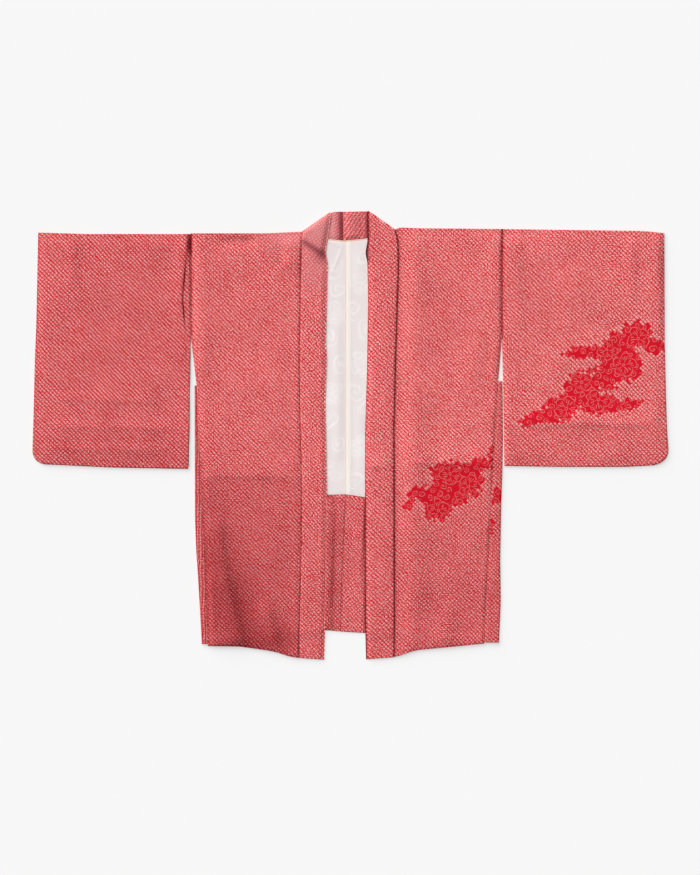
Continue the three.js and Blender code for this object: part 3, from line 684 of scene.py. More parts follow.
def sleeve_sheet(side, loft):
    """A flat tube, its rows running up the upper cloth from the bottom seam to the top fold and down the
    lower cloth again. The two cloths close in a round edge at the fold, the seam and, below the cuff, the
    outer edge."""
    name = f"sleeve_{side.name}"
    skin = CLOTH / 2
    radius = 2.4
    middle = (SLEEVE_TOP_Z + BACK_Z) / 2
    across = run(SLEEVE_WIDTH, FINE_STEP)
    if side is RIGHT:
        # close columns for the sharp creases by the armhole
        creased = np.linspace(4, 20, 20) / SLEEVE_WIDTH
        across = np.unique(np.concatenate([across, creased]))
    across = across[None, :]
    up = run(SLEEVE_DEPTH, FINE_STEP)[:, None]
    inner_x = float(side.sleeve_inner(0))
    outer_x = float(side.sleeve_outer(0)) - side.sign * skin
    width = abs(outer_x - inner_x)
    nominal = mix(inner_x, outer_x, across)
    corner = side.corner - skin
    short = np.maximum(0, across * width - (width - corner))
    lift = corner - np.sqrt(np.maximum(0, corner**2 - short**2))
    low = side.sleeve_bottom(nominal) + skin + lift
    high = side.sleeve_top(nominal) - skin
    y = mix(low, high, up)
    x = mix(side.sleeve_inner(y), side.sleeve_outer(y) - side.sign * skin, across)

    from_inner = np.abs(x - side.sleeve_inner(y))
    from_outer = np.abs(x - side.sleeve_outer(y) + side.sign * skin)
    from_bottom = y - side.sleeve_bottom(x) - skin
    centre_y = side.sleeve_bottom(np.full_like(x, outer_x)) + skin + corner
    in_corner = (from_outer < corner) & (y < centre_y)
    round_in = corner - np.hypot(corner - from_outer, centre_y - y)
    from_bottom = np.where(in_corner, np.maximum(round_in, 0), np.maximum(from_bottom, 0))
    cuff_y = float(side.sleeve_top(outer_x)) - CUFF_OPENING
    closed = smooth((cuff_y - y) / 9)
    plump = round_edge(high - y, radius) * round_edge(from_bottom, radius)
    plump = plump * mix(1, round_edge(from_outer, radius), closed)

    open_edge = smooth((side.armhole_end - y) / ARMHOLE_EASE)
    raised = relief(name, loft, x, y, from_inner * 1.5 + 2 + 9 * open_edge if side is RIGHT else from_inner)
    inside = np.minimum(high - y, np.minimum(from_bottom, from_outer))
    raised = raised * (0.25 + 0.75 * smooth(inside / 26))
    sewn = smooth((y - side.armhole_end + 12) / 12)
    seam_turn = side.sleeve_turn * (1 - round_edge(from_inner + 0.05, 1.8)) * sewn * pinched(side, y)
    open_turn = 0.9 * (1 - round_edge(from_inner + 0.05, 2.5)) * (1 - sewn)
    cuff_turn = 1.6 * (1 - smooth(from_outer / 12)) * (1 - closed)
    upper = middle + (SLEEVE_TOP_Z + raised - seam_turn - open_turn - cuff_turn - middle) * plump
    lower = middle - (middle - BACK_Z) * plump

    pairs = (x, x), (y, y), (upper, lower), (y, 2 * high - y), (from_inner, from_inner), (sewn, sewn)
    x, y, z, v, inside, sewn = tube(*pairs)
    tone, haze = painted_shade(name, x, y)
    # Painted shade along the armhole seam and the valley beside it, the top fold and the outer edge.
    tone = tone * mix(1, seam_shade(inside, side.sleeve_depth, 2.0), sewn * pinched(side, y))
    tone = tone * mix(1, seam_shade(inside, side.sleeve_valley, 8), sewn)
    tone = tone * seam_shade(side.sleeve_top(x) - y, *EDGE_SHADE)
    tone = tone * seam_shade(x - side.sleeve_outer(y), 0.15, 4)
    return grid_piece(name, x, y, z, x, v, dye=(tone, haze))


def sleeve_lining_sheet(side):
    """The lining just inside the open inner edge of a sleeve: a flat tube, open at both ends, that stands a
    little out of the sleeve below the armhole."""
    inset = CLOTH + 3 + GAP
    near_x = float(side.sleeve_inner(0))
    low = float(side.sleeve_bottom(near_x)) + inset
    high = float(side.sleeve_top(near_x)) - inset
    across = run(SLEEVE_LINING_DEPTH, 4, 0.5)[None, :]
    up = run(high - low, 4)[:, None]
    y = mix(low, high, up) + 0 * across
    free = smooth((side.armhole_end - 8 - y) / 30)
    shown = side.lining_shows * (1 + 0.25 * np.sin(y / 17) * (side.lining_shows > 1))
    x = side.sleeve_inner(y) + side.sign * (SLEEVE_LINING_DEPTH * across - shown * free)
    bottom, top = SLEEVE_LINING_Z
    middle = (bottom + top) / 2
    plump = round_edge(y - low, 3) * round_edge(high - y, 3)
    upper = middle + (top - middle) * plump
    lower = middle - (middle - bottom) * plump
    x, y, z, v = tube((x, x), (y, y), (upper, lower), (y, 2 * high - y))
    return grid_piece(f"sleeve_lining_{side.name}", x, y, z, x, v)


# ---- Gussets ----


def gusset_sheet(side):
    """A long wedge creased along the side of the coat: a flat part on the front, a half circle round the
    crease and a flat part in the back. Rows run down it, columns across."""
    radius = (FRONT_Z - BACK_Z) / 2
    y = mix(side.gusset_top, side.gusset_hem, run(GUSSET_LENGTH, 4.0, 1.0))[:, None]
    centre = side.crease(y) - side.sign * (radius + CLOTH / 2)
    seam = side.front_side(y) + side.sign * GAP
    flat = run(20, 1.6, 0.3)[None, :]
    turn = np.pi * (0.5 - np.arange(1, 12) / 12)[None, :]
    front_x = mix(seam, centre, flat)
    crown = 0.9 * smooth(np.abs(front_x - seam) / 5) * smooth(np.abs(front_x - centre) / 3 + 0.3)
    sag = -0.5 * (1 - round_edge(np.abs(front_x - seam) + 0.05, 1.4))
    front_z = FRONT_Z + sag + crown + waves("gusset", front_x, y + 0 * front_x, 0.3)
    fold_x = centre + side.sign * radius * np.cos(turn)
    fold_z = (FRONT_Z + BACK_Z) / 2 + radius * np.sin(turn) + 0 * y
    back_x = mix(centre, back_side(side, y) + side.sign * GAP, flat)
    x = np.concatenate([front_x, fold_x, back_x], 1)
    z = np.concatenate([front_z, fold_z, BACK_Z + 0 * back_x], 1)
    y = y + 0 * x
    u = np.cumsum(np.hypot(np.diff(x, axis=1, prepend=x[:, :1]), np.diff(z, axis=1, prepend=z[:, :1])), 1)
    u = side.front_side(y) + side.sign * u
    # Painted shade along the crease of the right gusset, and painted light along the left one's, where
    # `crease_shade` is below 0.
    tone = 1 - side.crease_shade * np.exp(-(((x - side.crease(y)) / 4) ** 2))
    return grid_piece(f"gusset_{side.name}", x, y, z, u, y, dye=(tone, 0.0))


# ---- Collar ----

FLAP = SimpleNamespace(x0=-106, y0=391.5, x1=-50, y1=354.5, drop=2.4, width=7.0)


def flap_height(x, y):
    """The fold-over on the band by the right shoulder: full height above a slanting line, nothing below
    it."""
    run_x, run_y = FLAP.x1 - FLAP.x0, FLAP.y1 - FLAP.y0
    above = ((y - FLAP.y0) * run_x - (x - FLAP.x0) * run_y) / math.hypot(run_x, run_y)
    crest = 1.2 * np.exp(-(((above - FLAP.width) / 7) ** 2))
    return FLAP.drop * smooth(above / FLAP.width) + crest


def collar_stations(side):
    """Lines across the band, close together: arrays of seam x, seam y, free x and free y, and the rows that
    lie behind the neck, round the fold and in front, told apart by `turn`, from -90 to 90 degrees round the
    fold."""

    def fill(rows, ease, step):
        """The table's lines at places `step` apart, each averaged over `ease` to either side, less at the
        ends."""
        table = np.array(rows, float)
        middle = (table[:, :2] + table[:, 2:]) / 2
        at = np.concatenate([[0], np.cumsum(np.hypot(*np.diff(middle, axis=0).T))])
        places = run(at[-1], step, 0.5) * at[-1]
        reach = ease * np.minimum(1, np.minimum(places, at[-1] - places) / ease)
        averaged = [(np.interp(places - reach, at, column) + 2 * np.interp(places, at, column)
                     + np.interp(places + reach, at, column)) / 4 for column in table.T]
        return np.stack(averaged, 1)

    behind = fill(COLLAR_BEHIND[side.name], 6, 2.5)
    front = fill(COLLAR_IN_FRONT[side.name], 4, 3.2)
    turns = np.linspace(-0.5, 0.5, BAND_TURN_ROWS) * np.pi
    fold = np.repeat(behind[-1:], len(turns), 0)
    lines = np.concatenate([behind[:-1], fold, front[1:]])
    turn = np.concatenate([np.full(len(behind) - 1, turns[0]), turns, np.full(len(front) - 1, turns[-1])])
    return lines, turn


def collar_sheet(side):
    """A flat tube round the folded band. Each row is a ring: across the outer face from the seam edge to
    the free edge and back across the inner face, rounded at both edges and closed at both ends. The band
    turns over along the slanting line at the neck on a half circle."""
    name = f"collar_{side.name}"
    lines, turn = collar_stations(side)
    seam, free = lines[:, None, :2], lines[:, None, 2:]
    turn = turn[:, None]
    radius = (COLLAR_OVER_Z - COLLAR_UNDER_Z) / 2
    middle_z = (COLLAR_OVER_Z + COLLAR_UNDER_Z) / 2
    t = run(BAND_WIDTH, 3.0, 0.12)[None, :]
    width = np.hypot(*(free - seam)[:, 0].T)[:, None]
    flat = np.cos(turn)
    out = np.stack([side.sign * np.abs(lines[:, 3] - lines[:, 1]), np.abs(lines[:, 2] - lines[:, 0])], 1)
    out = out / np.hypot(*out.T)[:, None]
    x = mix(seam[..., 0], free[..., 0], t) + out[:, :1] * flat * radius
    y = mix(seam[..., 1], free[..., 1], t) + out[:, 1:] * flat * radius

    # the hem end and the joint behind the neck are closed: the two faces meet there
    step = np.hypot(*np.diff(lines[:, :2], axis=0).T)
    along = np.concatenate([[0], np.cumsum(step)])[:, None]
    from_ends = np.minimum(along, along[-1] - along)
    plump = math.prod(round_edge(inside, BAND_EDGE) for inside in (t * width, (1 - t) * width, from_ends))
    thin = smooth((t * width - width + BAND_THIN_WIDTH) / (BAND_THIN_WIDTH - 1))
    half = mix(COLLAR / 2, BAND_THIN_HALF, thin) * plump

    in_front = smooth((turn / np.pi * 2 - 0.2) / 0.8)
    down = smooth((turn[:, 0] > 1.5).cumsum()[:, None] / 10)
    crown = 0.8 * np.sin(np.pi * t) * in_front
    raised = crown + (fold_height(name, x, y) + waves(name, x, y, 0.5) + 0.4) * down * smooth(t * width / 4)
    if side is RIGHT:
        raised = raised + flap_height(x, y) * down * smooth(t * width / 5 + 0.15) * mix(1, 0.25, thin)
    else:
        lift = smooth((y - 330) / 40) * smooth((t - 0.55) / 0.45)
        raised = raised + 1.6 * lift * down
    overhang = over_hem(side, x, y) * down
    raised = raised - 1.2 * thin * down * smooth((430 - y) / 30)
    behind = 1 - smooth((turn / np.pi * 2 + 1) * 4)
    raised = raised + behind * neck_relief(side, x) * smooth(t * width / 9 + 0.1)
    z = middle_z + radius * np.sin(turn) + raised - 2.2 * overhang
    seam_dip = side.band_dip * (1 - smooth(t * width / 3)) * down * (1 - 0.8 * overhang)
    z = z - seam_dip

    normal = np.stack([out[:, 0:1] * flat, out[:, 1:2] * flat, np.sin(turn)], -1)
    middle = np.stack(np.broadcast_arrays(x, y, z), -1)
    upper = middle + normal * half[..., None]
    lower = middle - normal * half[..., None]
    ring = np.concatenate([upper, lower[:, -2::-1]], 1)

    free_step = np.hypot(*np.diff(lines[:, 2:], axis=0).T)
    free_along = np.concatenate([[0], np.cumsum(free_step)])[:, None]
    hem_y = float(side.front_hem(side.collar_seam(-445)))
    v = mix(along[-1] - along, free_along[-1] - free_along, t) + hem_y
    from_free = side.sign * width * (1 - t)
    u = np.concatenate([from_free, -from_free[:, -2::-1]], 1)
    v = np.concatenate([v, v[:, -2::-1]], 1)
    x, y, z = np.moveaxis(ring, -1, 0)
    tone, haze = painted_shade(name, x, y)
    inside = np.concatenate([t, t[:, -2::-1]], 1) * width
    # Painted shade along the seam edge; on the right band a painted highlight along the free edge, and on
    # the left band painted shade along the free edge, deepest where it stands up by the neck and where it
    # lies over the facing.
    tone = tone * mix(1, seam_shade(inside, side.band_depth, 0.9), down)
    if side is RIGHT:
        tone = tone * mix(1, seam_shade(width - inside, -1.1, 1.1), in_front)
    else:
        standing = smooth((y - 338) / 16)
        over_facing = smooth((-112 - y) / 16)
        depth = 0.4 + 0.5 * np.maximum(standing, over_facing)
        reach = 1.6 + 2.4 * standing + 0.8 * over_facing
        tone = tone * seam_shade(width - inside, depth * in_front, reach)
    return grid_piece(name, x, y, z, u, v, None, (tone, haze), side is RIGHT)


def neck_relief(side, x):
    """Behind the neck the right band sinks towards the joint and the left one lies over it."""
    if side is RIGHT:
        return 1.2 * np.exp(-(((x + 32) / 11) ** 2))
    return 3.0 * smooth((x + 15) / 14) * (1 - smooth((x - 6) / 22))


# ---- Back lining ----


def back_lining_sheet(side):
    """Lies on the back inside the coat, from the turned-up hem to the shoulder and the neckline. The left
    one has a narrow raised strip beside the centre seam, where the seam allowance is pressed to that
    side."""
    name = f"lining_back_{side.name}"
    shares = run(LINING_WIDTH, 8.0, 1.0)
    neck_shares = run(NECK_WIDTH, 2.6, 0.4)[1:]
    nominal = np.zeros(len(shares) + len(neck_shares))

    def edge(at):
        return back_side(side, at) - side.sign * GAP

    def column_x(y):
        return spread(side, y, edge, shares, neck_shares)

    is_main = np.arange(len(nominal)) < len(shares)
    shoulder = side.shoulder(column_x(nominal + SHOULDER_Y)) - 2 * FRONT_Z
    high = np.where(is_main, shoulder, neckline(side, column_x(nominal + NECK_Y)))
    low = side.facing_top(column_x(nominal + FACING_TOP_Y)) + GAP
    y = mix(low, high, run(LINING_LENGTH, 4.5, 0.5)[:, None])
    x = column_x(y)
    from_centre = np.abs(x - CENTRE_BACK(y))
    inside = np.minimum(from_centre, np.minimum(y - low, high - y))
    z = INSIDE_Z - 0.2 + relief(name, 0.3, x, y, inside, 6, 0.35)
    if side is LEFT:
        z = z + 0.35 * smooth(from_centre / 0.8) * (1 - smooth((from_centre - 9.6) / 1.4))
    trim = (high - y < 2.4) & ~is_main
    return grid_piece(name, x, y, z, x - CENTRE_BACK(y), y, dye=(1.0, 0.8 * trim))


# ---- Shader nodes ----


def operation(name):
    """A method of Nodes that adds one kind of Math node."""

    def method(self, *values, clamp=False):
        return self.add("ShaderNodeMath", *values, operation=name, use_clamp=clamp).outputs[0]

    return method


class Nodes:
    """Adds nodes to a tree. A number or tuple goes into a socket as its value, anything else is joined to
    it."""

    plus, minus, times, over = map(operation, ("ADD", "SUBTRACT", "MULTIPLY", "DIVIDE"))
    times_plus, power, modulo = map(operation, ("MULTIPLY_ADD", "POWER", "FLOORED_MODULO"))
    highest, lowest, exceeds, below = map(operation, ("MAXIMUM", "MINIMUM", "GREATER_THAN", "LESS_THAN"))
    absolute, sine, cosine, sign, fraction = map(operation, ("ABSOLUTE", "SINE", "COSINE", "SIGN", "FRACT"))
    bearing = operation("ARCTAN2")

    def __init__(self, tree):
        self.tree = tree

    def set(self, socket, value):
        if isinstance(value, bpy.types.NodeSocket):
            self.tree.links.new(value, socket)
        elif value is not None:
            socket.default_value = value

    def add(self, kind, *values, sockets=None, **settings):
        """A new node: `values` go into its first sockets, and `sockets` gives others by name."""
        node = self.tree.nodes.new(kind)
        for name, value in settings.items():
            setattr(node, name, value)
        for socket, value in zip(node.inputs, values):
            self.set(socket, value)
        for name, value in (sockets or {}).items():
            self.set(node.inputs[name], value)
        return node

    def vector(self, operation, *values):
        node = self.add("ShaderNodeVectorMath", *values, operation=operation)
        return node.outputs["Value" if operation == "LENGTH" else "Vector"]

    def scale(self, vector, factor):
        node = self.add("ShaderNodeVectorMath", vector, sockets={"Scale": factor}, operation="SCALE")
        return node.outputs["Vector"]

    def turn(self, vector, angle):
        node = self.add("ShaderNodeVectorRotate", vector, sockets={"Angle": angle}, rotation_type="Z_AXIS")
        return node.outputs["Vector"]

    def parts(self, vector):
        return self.add("ShaderNodeSeparateXYZ", vector).outputs

    def join(self, x, y, z=0.0):
        return self.add("ShaderNodeCombineXYZ", x, y, z).outputs[0]

    def ramp(self, value, *limits):
        """Smoothly from one value to another as `value` runs from low to high: low, high, first, second."""
        node = self.add("ShaderNodeMapRange", value, *limits, interpolation_type="SMOOTHSTEP")
        return node.outputs["Result"]

    def colour(self, share, first, second):
        """From the first colour at 0 to the second at 1."""
        node = self.add("ShaderNodeMix", data_type="RGBA")
        self.set(node.inputs["Factor"], share)
        for socket, value in zip((s for s in node.inputs if s.type == "RGBA"), (first, second)):
            self.set(socket, value)
        return next(s for s in node.outputs if s.type == "RGBA")

    def attribute(self, name):
        return self.add("ShaderNodeAttribute", attribute_name=name).outputs["Fac"]

    def noise(self, vector, scale, detail=2.0):
        sockets = {"Vector": vector, "Scale": scale, "Detail": detail}
        return self.add("ShaderNodeTexNoise", sockets=sockets, noise_dimensions="3D").outputs

    def chance(self, cell):
        return self.add("ShaderNodeTexWhiteNoise", cell, noise_dimensions="3D").outputs

    def about_0(self, colour):
        return self.vector("SUBTRACT", colour, (0.5, 0.5, 0.5))

    def sway(self, vector, scale, amount):
        """An uneven shift of a pattern, from a noise."""
        return self.scale(self.about_0(self.noise(vector, scale, 1.0)["Color"]), amount)

    def group(self, tree, **values):
        return self.add("ShaderNodeGroup", sockets=values, node_tree=tree).outputs


def new_group(name, inputs, outputs):
    """A shader group with named sockets: (name, kind, default) for inputs, (name, kind) for outputs."""
    tree = bpy.data.node_groups.new(name, "ShaderNodeTree")
    for socket, kind, default in inputs:
        made = tree.interface.new_socket(name=socket, in_out="INPUT", socket_type=f"NodeSocket{kind}")
        if default is not None:
            made.default_value = default
    for socket, kind in outputs:
        tree.interface.new_socket(name=socket, in_out="OUTPUT", socket_type=f"NodeSocket{kind}")
    source = tree.nodes.new("NodeGroupInput").outputs
    sink = tree.nodes.new("NodeGroupOutput").inputs
    return Nodes(tree), source, sink


def dots_group():
    """Tie-dyed dots: a square lattice on its corner, each dot longer along the falling rows so that those
    join."""
    n, given, out = new_group(
        "tie_dyed_dots",
        [("Cloth", "Vector", None), ("Pitch", "Float", 0.0058), ("Turn", "Float", 0.785)],
        [("Dot", "Float"), ("Height", "Float"), ("Pip", "Float"), ("Spot", "Vector"),
         ("Chance", "Float")],
    )
    drift = n.sway(given["Cloth"], 18.0, 0.0045)
    place = n.vector("MULTIPLY", n.vector("ADD", given["Cloth"], drift), (1.0, 1.0, 0.0))
    pitch = n.over(1.0, given["Pitch"])
    lattice = n.scale(n.turn(place, given["Turn"]), pitch)
    cell = n.vector("FLOOR", lattice)
    chance = n.chance(cell)
    within = n.vector("SUBTRACT", n.vector("SUBTRACT", lattice, cell), (0.5, 0.5, 0.0))
    shaken = n.about_0(chance["Color"])
    within = n.vector("ADD", within, n.vector("MULTIPLY", shaken, (0.22, 0.16, 0.0)))
    along, across, _ = n.parts(n.vector("ABSOLUTE", within))
    band = n.ramp(across, 0.14, 0.40, 1.0, 0.0)
    bead = n.ramp(along, 0.16, 0.46, 1.0, 0.0)
    n.set(out["Dot"], n.times(band, n.times_plus(bead, 0.55, 0.45)))
    n.set(out["Height"], n.times(band, bead))
    n.set(out["Pip"], n.ramp(n.vector("LENGTH", within), 0.07, 0.19, 1.0, 0.0))
    middle = n.vector("ADD", cell, (0.5, 0.5, 0.0))
    back = n.turn(n.scale(middle, given["Pitch"]), n.times(given["Turn"], -1.0))
    n.set(out["Spot"], back)
    n.set(out["Chance"], chance["Value"])
    return n.tree


def flower_group():
    """Line drawing of a five-petalled blossom: an outline whose radius swells with each petal, three
    strokes down each petal and a ring in the middle."""
    n, given, out = new_group(
        "blossom_lines",
        [("Cloth", "Vector", None), ("Centre", "Vector", None), ("Radius", "Float", 0.024),
         ("Turn", "Float", 0.0), ("Line", "Float", 0.0009)],
        [("Mask", "Float"), ("Fill", "Float")],
    )
    place = n.turn(n.vector("SUBTRACT", given["Cloth"], given["Centre"]), given["Turn"])
    x, y, _ = n.parts(place)
    far = n.over(n.vector("LENGTH", n.join(x, y)), given["Radius"])
    angle = n.bearing(y, x)
    lobe = n.power(n.absolute(n.cosine(n.times(angle, 2.5))), 0.55)
    outline = n.times_plus(lobe, 0.42, 0.52)
    line_width = n.over(given["Line"], given["Radius"])
    n.set(out["Fill"], n.ramp(n.minus(far, outline), -0.06, 0.06, 1.0, 0.0))
    edge = n.over(n.absolute(n.minus(far, outline)), line_width)
    ring = n.over(n.absolute(n.minus(far, 0.11)), line_width)
    petal = 2 * math.pi / 5
    turned = n.minus(n.modulo(n.plus(angle, petal / 2), petal), petal / 2)
    spread = n.absolute(turned)

    def stroke(off, middle, half_length):
        """Distance from a stroke down the petal, in line widths, and at least 9 past its ends."""
        past_end = n.times(n.exceeds(n.absolute(n.minus(far, middle)), half_length), 9.0)
        return n.highest(n.over(n.times(off, far), line_width), past_end)

    strokes = n.lowest(stroke(spread, 0.45, 0.22), stroke(n.absolute(n.minus(spread, 0.32)), 0.55, 0.14))
    nearest = n.lowest(n.lowest(edge, ring), strokes)
    n.set(out["Mask"], n.ramp(nearest, 0.6, 1.5, 1.0, 0.0))
    return n.tree


def spiral(n, x, y, far, turns, radius, line, narrow):
    """Mask of a spiral line: `far` runs from 0 in its middle to 1 at its end, `turns` windings away."""
    angle = n.times(n.bearing(y, x), 1 / (2 * math.pi))
    winding = n.modulo(n.minus(n.times(far, turns), angle), 1.0)
    away = n.over(n.times(n.absolute(n.minus(winding, 0.5)), n.over(radius, turns)), line)
    beyond = n.times(n.exceeds(far, 1.0), 9.0)
    return n.ramp(n.highest(away, beyond), narrow, 1.5, 1.0, 0.0)


def scroll_group():
    """Line drawing of a tendril: one and a half turns of an even spiral."""
    n, given, out = new_group(
        "tendril_lines",
        [("Cloth", "Vector", None), ("Centre", "Vector", None), ("Radius", "Float", 0.012),
         ("Turn", "Float", 0.0), ("Hand", "Float", 1.0), ("Line", "Float", 0.0009)],
        [("Mask", "Float")],
    )
    place = n.turn(n.vector("SUBTRACT", given["Cloth"], given["Centre"]), given["Turn"])
    x, y, _ = n.parts(place)
    y = n.times(y, given["Hand"])
    far = n.over(n.vector("LENGTH", n.join(x, y)), given["Radius"])
    n.set(out["Mask"], spiral(n, x, y, far, 1.6, given["Radius"], given["Line"], 0.6))
    return n.tree


def field_group():
    """Tendrils all over: in each cell of a square lattice one small spiral, with its own place, size and
    turn."""
    n, given, out = new_group(
        "tendril_field",
        [("Cloth", "Vector", None), ("Spacing", "Float", 0.0125), ("Line", "Float", 0.0008)],
        [("Mask", "Float")],
    )
    lattice = n.scale(n.turn(given["Cloth"], 0.4), n.over(1.0, given["Spacing"]))
    flat = n.vector("MULTIPLY", lattice, (1.0, 1.0, 0.0))
    cell = n.vector("FLOOR", flat)
    chance = n.chance(cell)
    shift = n.scale(n.about_0(chance["Color"]), 0.24)
    within = n.vector("SUBTRACT", n.vector("SUBTRACT", flat, cell), (0.5, 0.5, 0.0))
    within = n.vector("SUBTRACT", within, shift)
    x, y, _ = n.parts(n.turn(within, n.times(chance["Value"], 2 * math.pi)))
    hand = n.sign(n.minus(n.fraction(n.times(chance["Value"], 7.0)), 0.5))
    share = 0.46  # half width of a tendril in its cell
    far = n.over(n.vector("LENGTH", n.join(x, y)), share)
    radius = n.times(given["Spacing"], share)
    n.set(out["Mask"], spiral(n, x, n.times(y, hand), far, 1.45, radius, given["Line"], 0.5))
    return n.tree


def blob_group():
    """Inside of an ellipse, measured from its centre: below 1 inside, above 1 outside."""
    n, given, out = new_group(
        "ellipse",
        [("Spot", "Vector", None), ("Centre", "Vector", None), ("Radii", "Vector", None),
         ("Turn", "Float", 0.0)],
        [("Reach", "Float")],
    )
    place = n.turn(n.vector("SUBTRACT", given["Spot"], given["Centre"]), n.times(given["Turn"], -1.0))
    flat = n.vector("MULTIPLY", n.vector("DIVIDE", place, given["Radii"]), (1.0, 1.0, 0.0))
    n.set(out["Reach"], n.vector("LENGTH", flat))
    return n.tree


# ---- The reserved clouds ----

# Clouds of plain red among the dots, with blossoms and tendrils in dotted lines. Each blob is an ellipse:
# x, y, half sizes across and up, turn. Each blossom is x, y, radius, turn. Millimetres and degrees.
CLOUDS = {
    "sleeve_left": dict(
        blobs=[
            (568, 200, 34, 27, 20), (536, 184, 38, 22, 20), (478, 166, 50, 13, 4),
            (608, 178, 30, 15, -4), (550, 140, 34, 32, 30), (532, 158, 34, 16, 0), (512, 118, 30, 28, 40),
            (462, 92, 42, 34, 38), (424, 56, 46, 26, 30), (376, 34, 40, 14, 14),
            (498, 62, 38, 21, 10), (552, 60, 30, 11, 8),
        ],
        blossoms=[
            (575, 192, 25, 20), (547, 140, 25, 62), (512, 170, 22, 5),
            (462, 106, 24, 40), (496, 70, 25, 18), (431, 54, 25, 8),
        ],
    ),
    "body_left": dict(
        blobs=[
            (196, -80, 34, 30, 0), (233, -92, 33, 32, 20), (250, -61, 32, 11, 14),
            (279, -36, 4.5, 18, -14), (276, -64, 12, 4, 0), (176, -142, 31, 30, 20), (210, -120, 34, 20, 30),
            (140, -116, 28, 14, -6), (117, -138, 9, 14, -35), (172, -117, 30, 21, 0),
        ],
        blossoms=[(201, -78, 23, 30), (237, -102, 24, 5), (176, -150, 23, 48)],
    ),
    "gusset_left": dict(
        blobs=[(293, -124, 9, 22, 12), (283, -136, 8, 10, 0), (281, -182, 5, 16, -4)],
        blossoms=[],
    ),
}

# The figure woven in the back lining, from the centre seam of each half. Each tendril is x, y, radius, turn
# and the way round that it winds.
WOVEN = {
    "lining_right": dict(
        blossoms=[(-26, 246, 26, 10), (-30, 82, 24, 50), (-24, -70, 25, 25)],
        tendrils=[
            (-30, 330, 22, 40, 1), (-12, 292, 17, 200, -1), (-34, 196, 20, 90, 1),
            (-12, 140, 18, 300, -1), (-36, 30, 19, 20, 1), (-12, -14, 18, 130, -1),
        ],
    ),
    "lining_left": dict(
        blossoms=[(32, 300, 25, 40), (34, 142, 26, 12), (30, -26, 24, 55)],
        tendrils=[
            (38, 352, 19, 10, -1), (16, 246, 20, 150, 1), (40, 206, 18, 280, -1),
            (18, 90, 20, 70, 1), (40, 52, 19, 330, -1), (20, -92, 18, 200, 1),
        ],
    ),
}


def draw(n, shape, cloth, line, x, y, radius, turn, **more):
    """Adds a blossom or tendril at x and y, in lines `line` metres to either side."""
    return n.group(shape, Cloth=cloth, Centre=(x * MM, y * MM, 0), Radius=radius * MM,
                   Turn=math.radians(turn), Line=line, **more)


def cloud_nodes(n, piece, cloth, spot, shapes):
    """The clouds on one piece: how far each dot is from them, below 1 inside, and the lines drawn in
    them."""
    clouds = CLOUDS[piece]
    reach = None
    for x, y, across, up, turn in clouds["blobs"]:
        found = n.group(shapes["ellipse"], Spot=spot, Centre=(x * MM, y * MM, 0),
                        Radii=(across * MM, up * MM, 1), Turn=math.radians(turn))["Reach"]
        reach = found if reach is None else n.lowest(reach, found)
    reach = n.plus(reach, n.ramp(n.noise(spot, 95.0, 1.0)["Fac"], 0.3, 0.7, -0.22, 0.22))
    sway = n.sway(cloth, 48.0, 0.011)
    drawn = n.vector("ADD", cloth, sway)
    lines = n.group(shapes["field"], Cloth=drawn, Spacing=0.0155, Line=0.00075)["Mask"]
    for blossom in clouds["blossoms"]:
        found = draw(n, shapes["blossom"], drawn, 0.00075, *blossom)
        behind = n.times(lines, n.minus(1.0, found["Fill"]))
        lines = n.highest(behind, found["Mask"])
    return reach, lines


# ---- Materials ----


def rgba(name, share=1.0):
    """One of the colours in the settings, or a share of its light, with alpha."""
    return tuple(share * c for c in getattr(bpy.context.scene.haori_colours, name)) + (1,)


def new_material(name, roughness, sheen=0.0):
    material = bpy.data.materials.new(name)
    material.use_nodes = True
    n = Nodes(material.node_tree)
    shader = material.node_tree.nodes["Principled BSDF"]
    values = {"Roughness": roughness, "Sheen Weight": sheen, "Sheen Roughness": 0.45,
              "Specular IOR Level": 0.06}
    for socket, value in values.items():
        shader.inputs[socket].default_value = value
    return material, n, shader, n.add("ShaderNodeUVMap", uv_map="cloth").outputs[0]


def bump(n, shader, height, strength, distance):
    node = n.add("ShaderNodeBump", sockets={"Strength": strength, "Distance": distance, "Height": height})
    n.set(shader.inputs["Normal"], node.outputs[0])


SHADE_POWERS = (0.85, 1.45, 1.35)  # shade takes more of the green and blue, so that it stays red


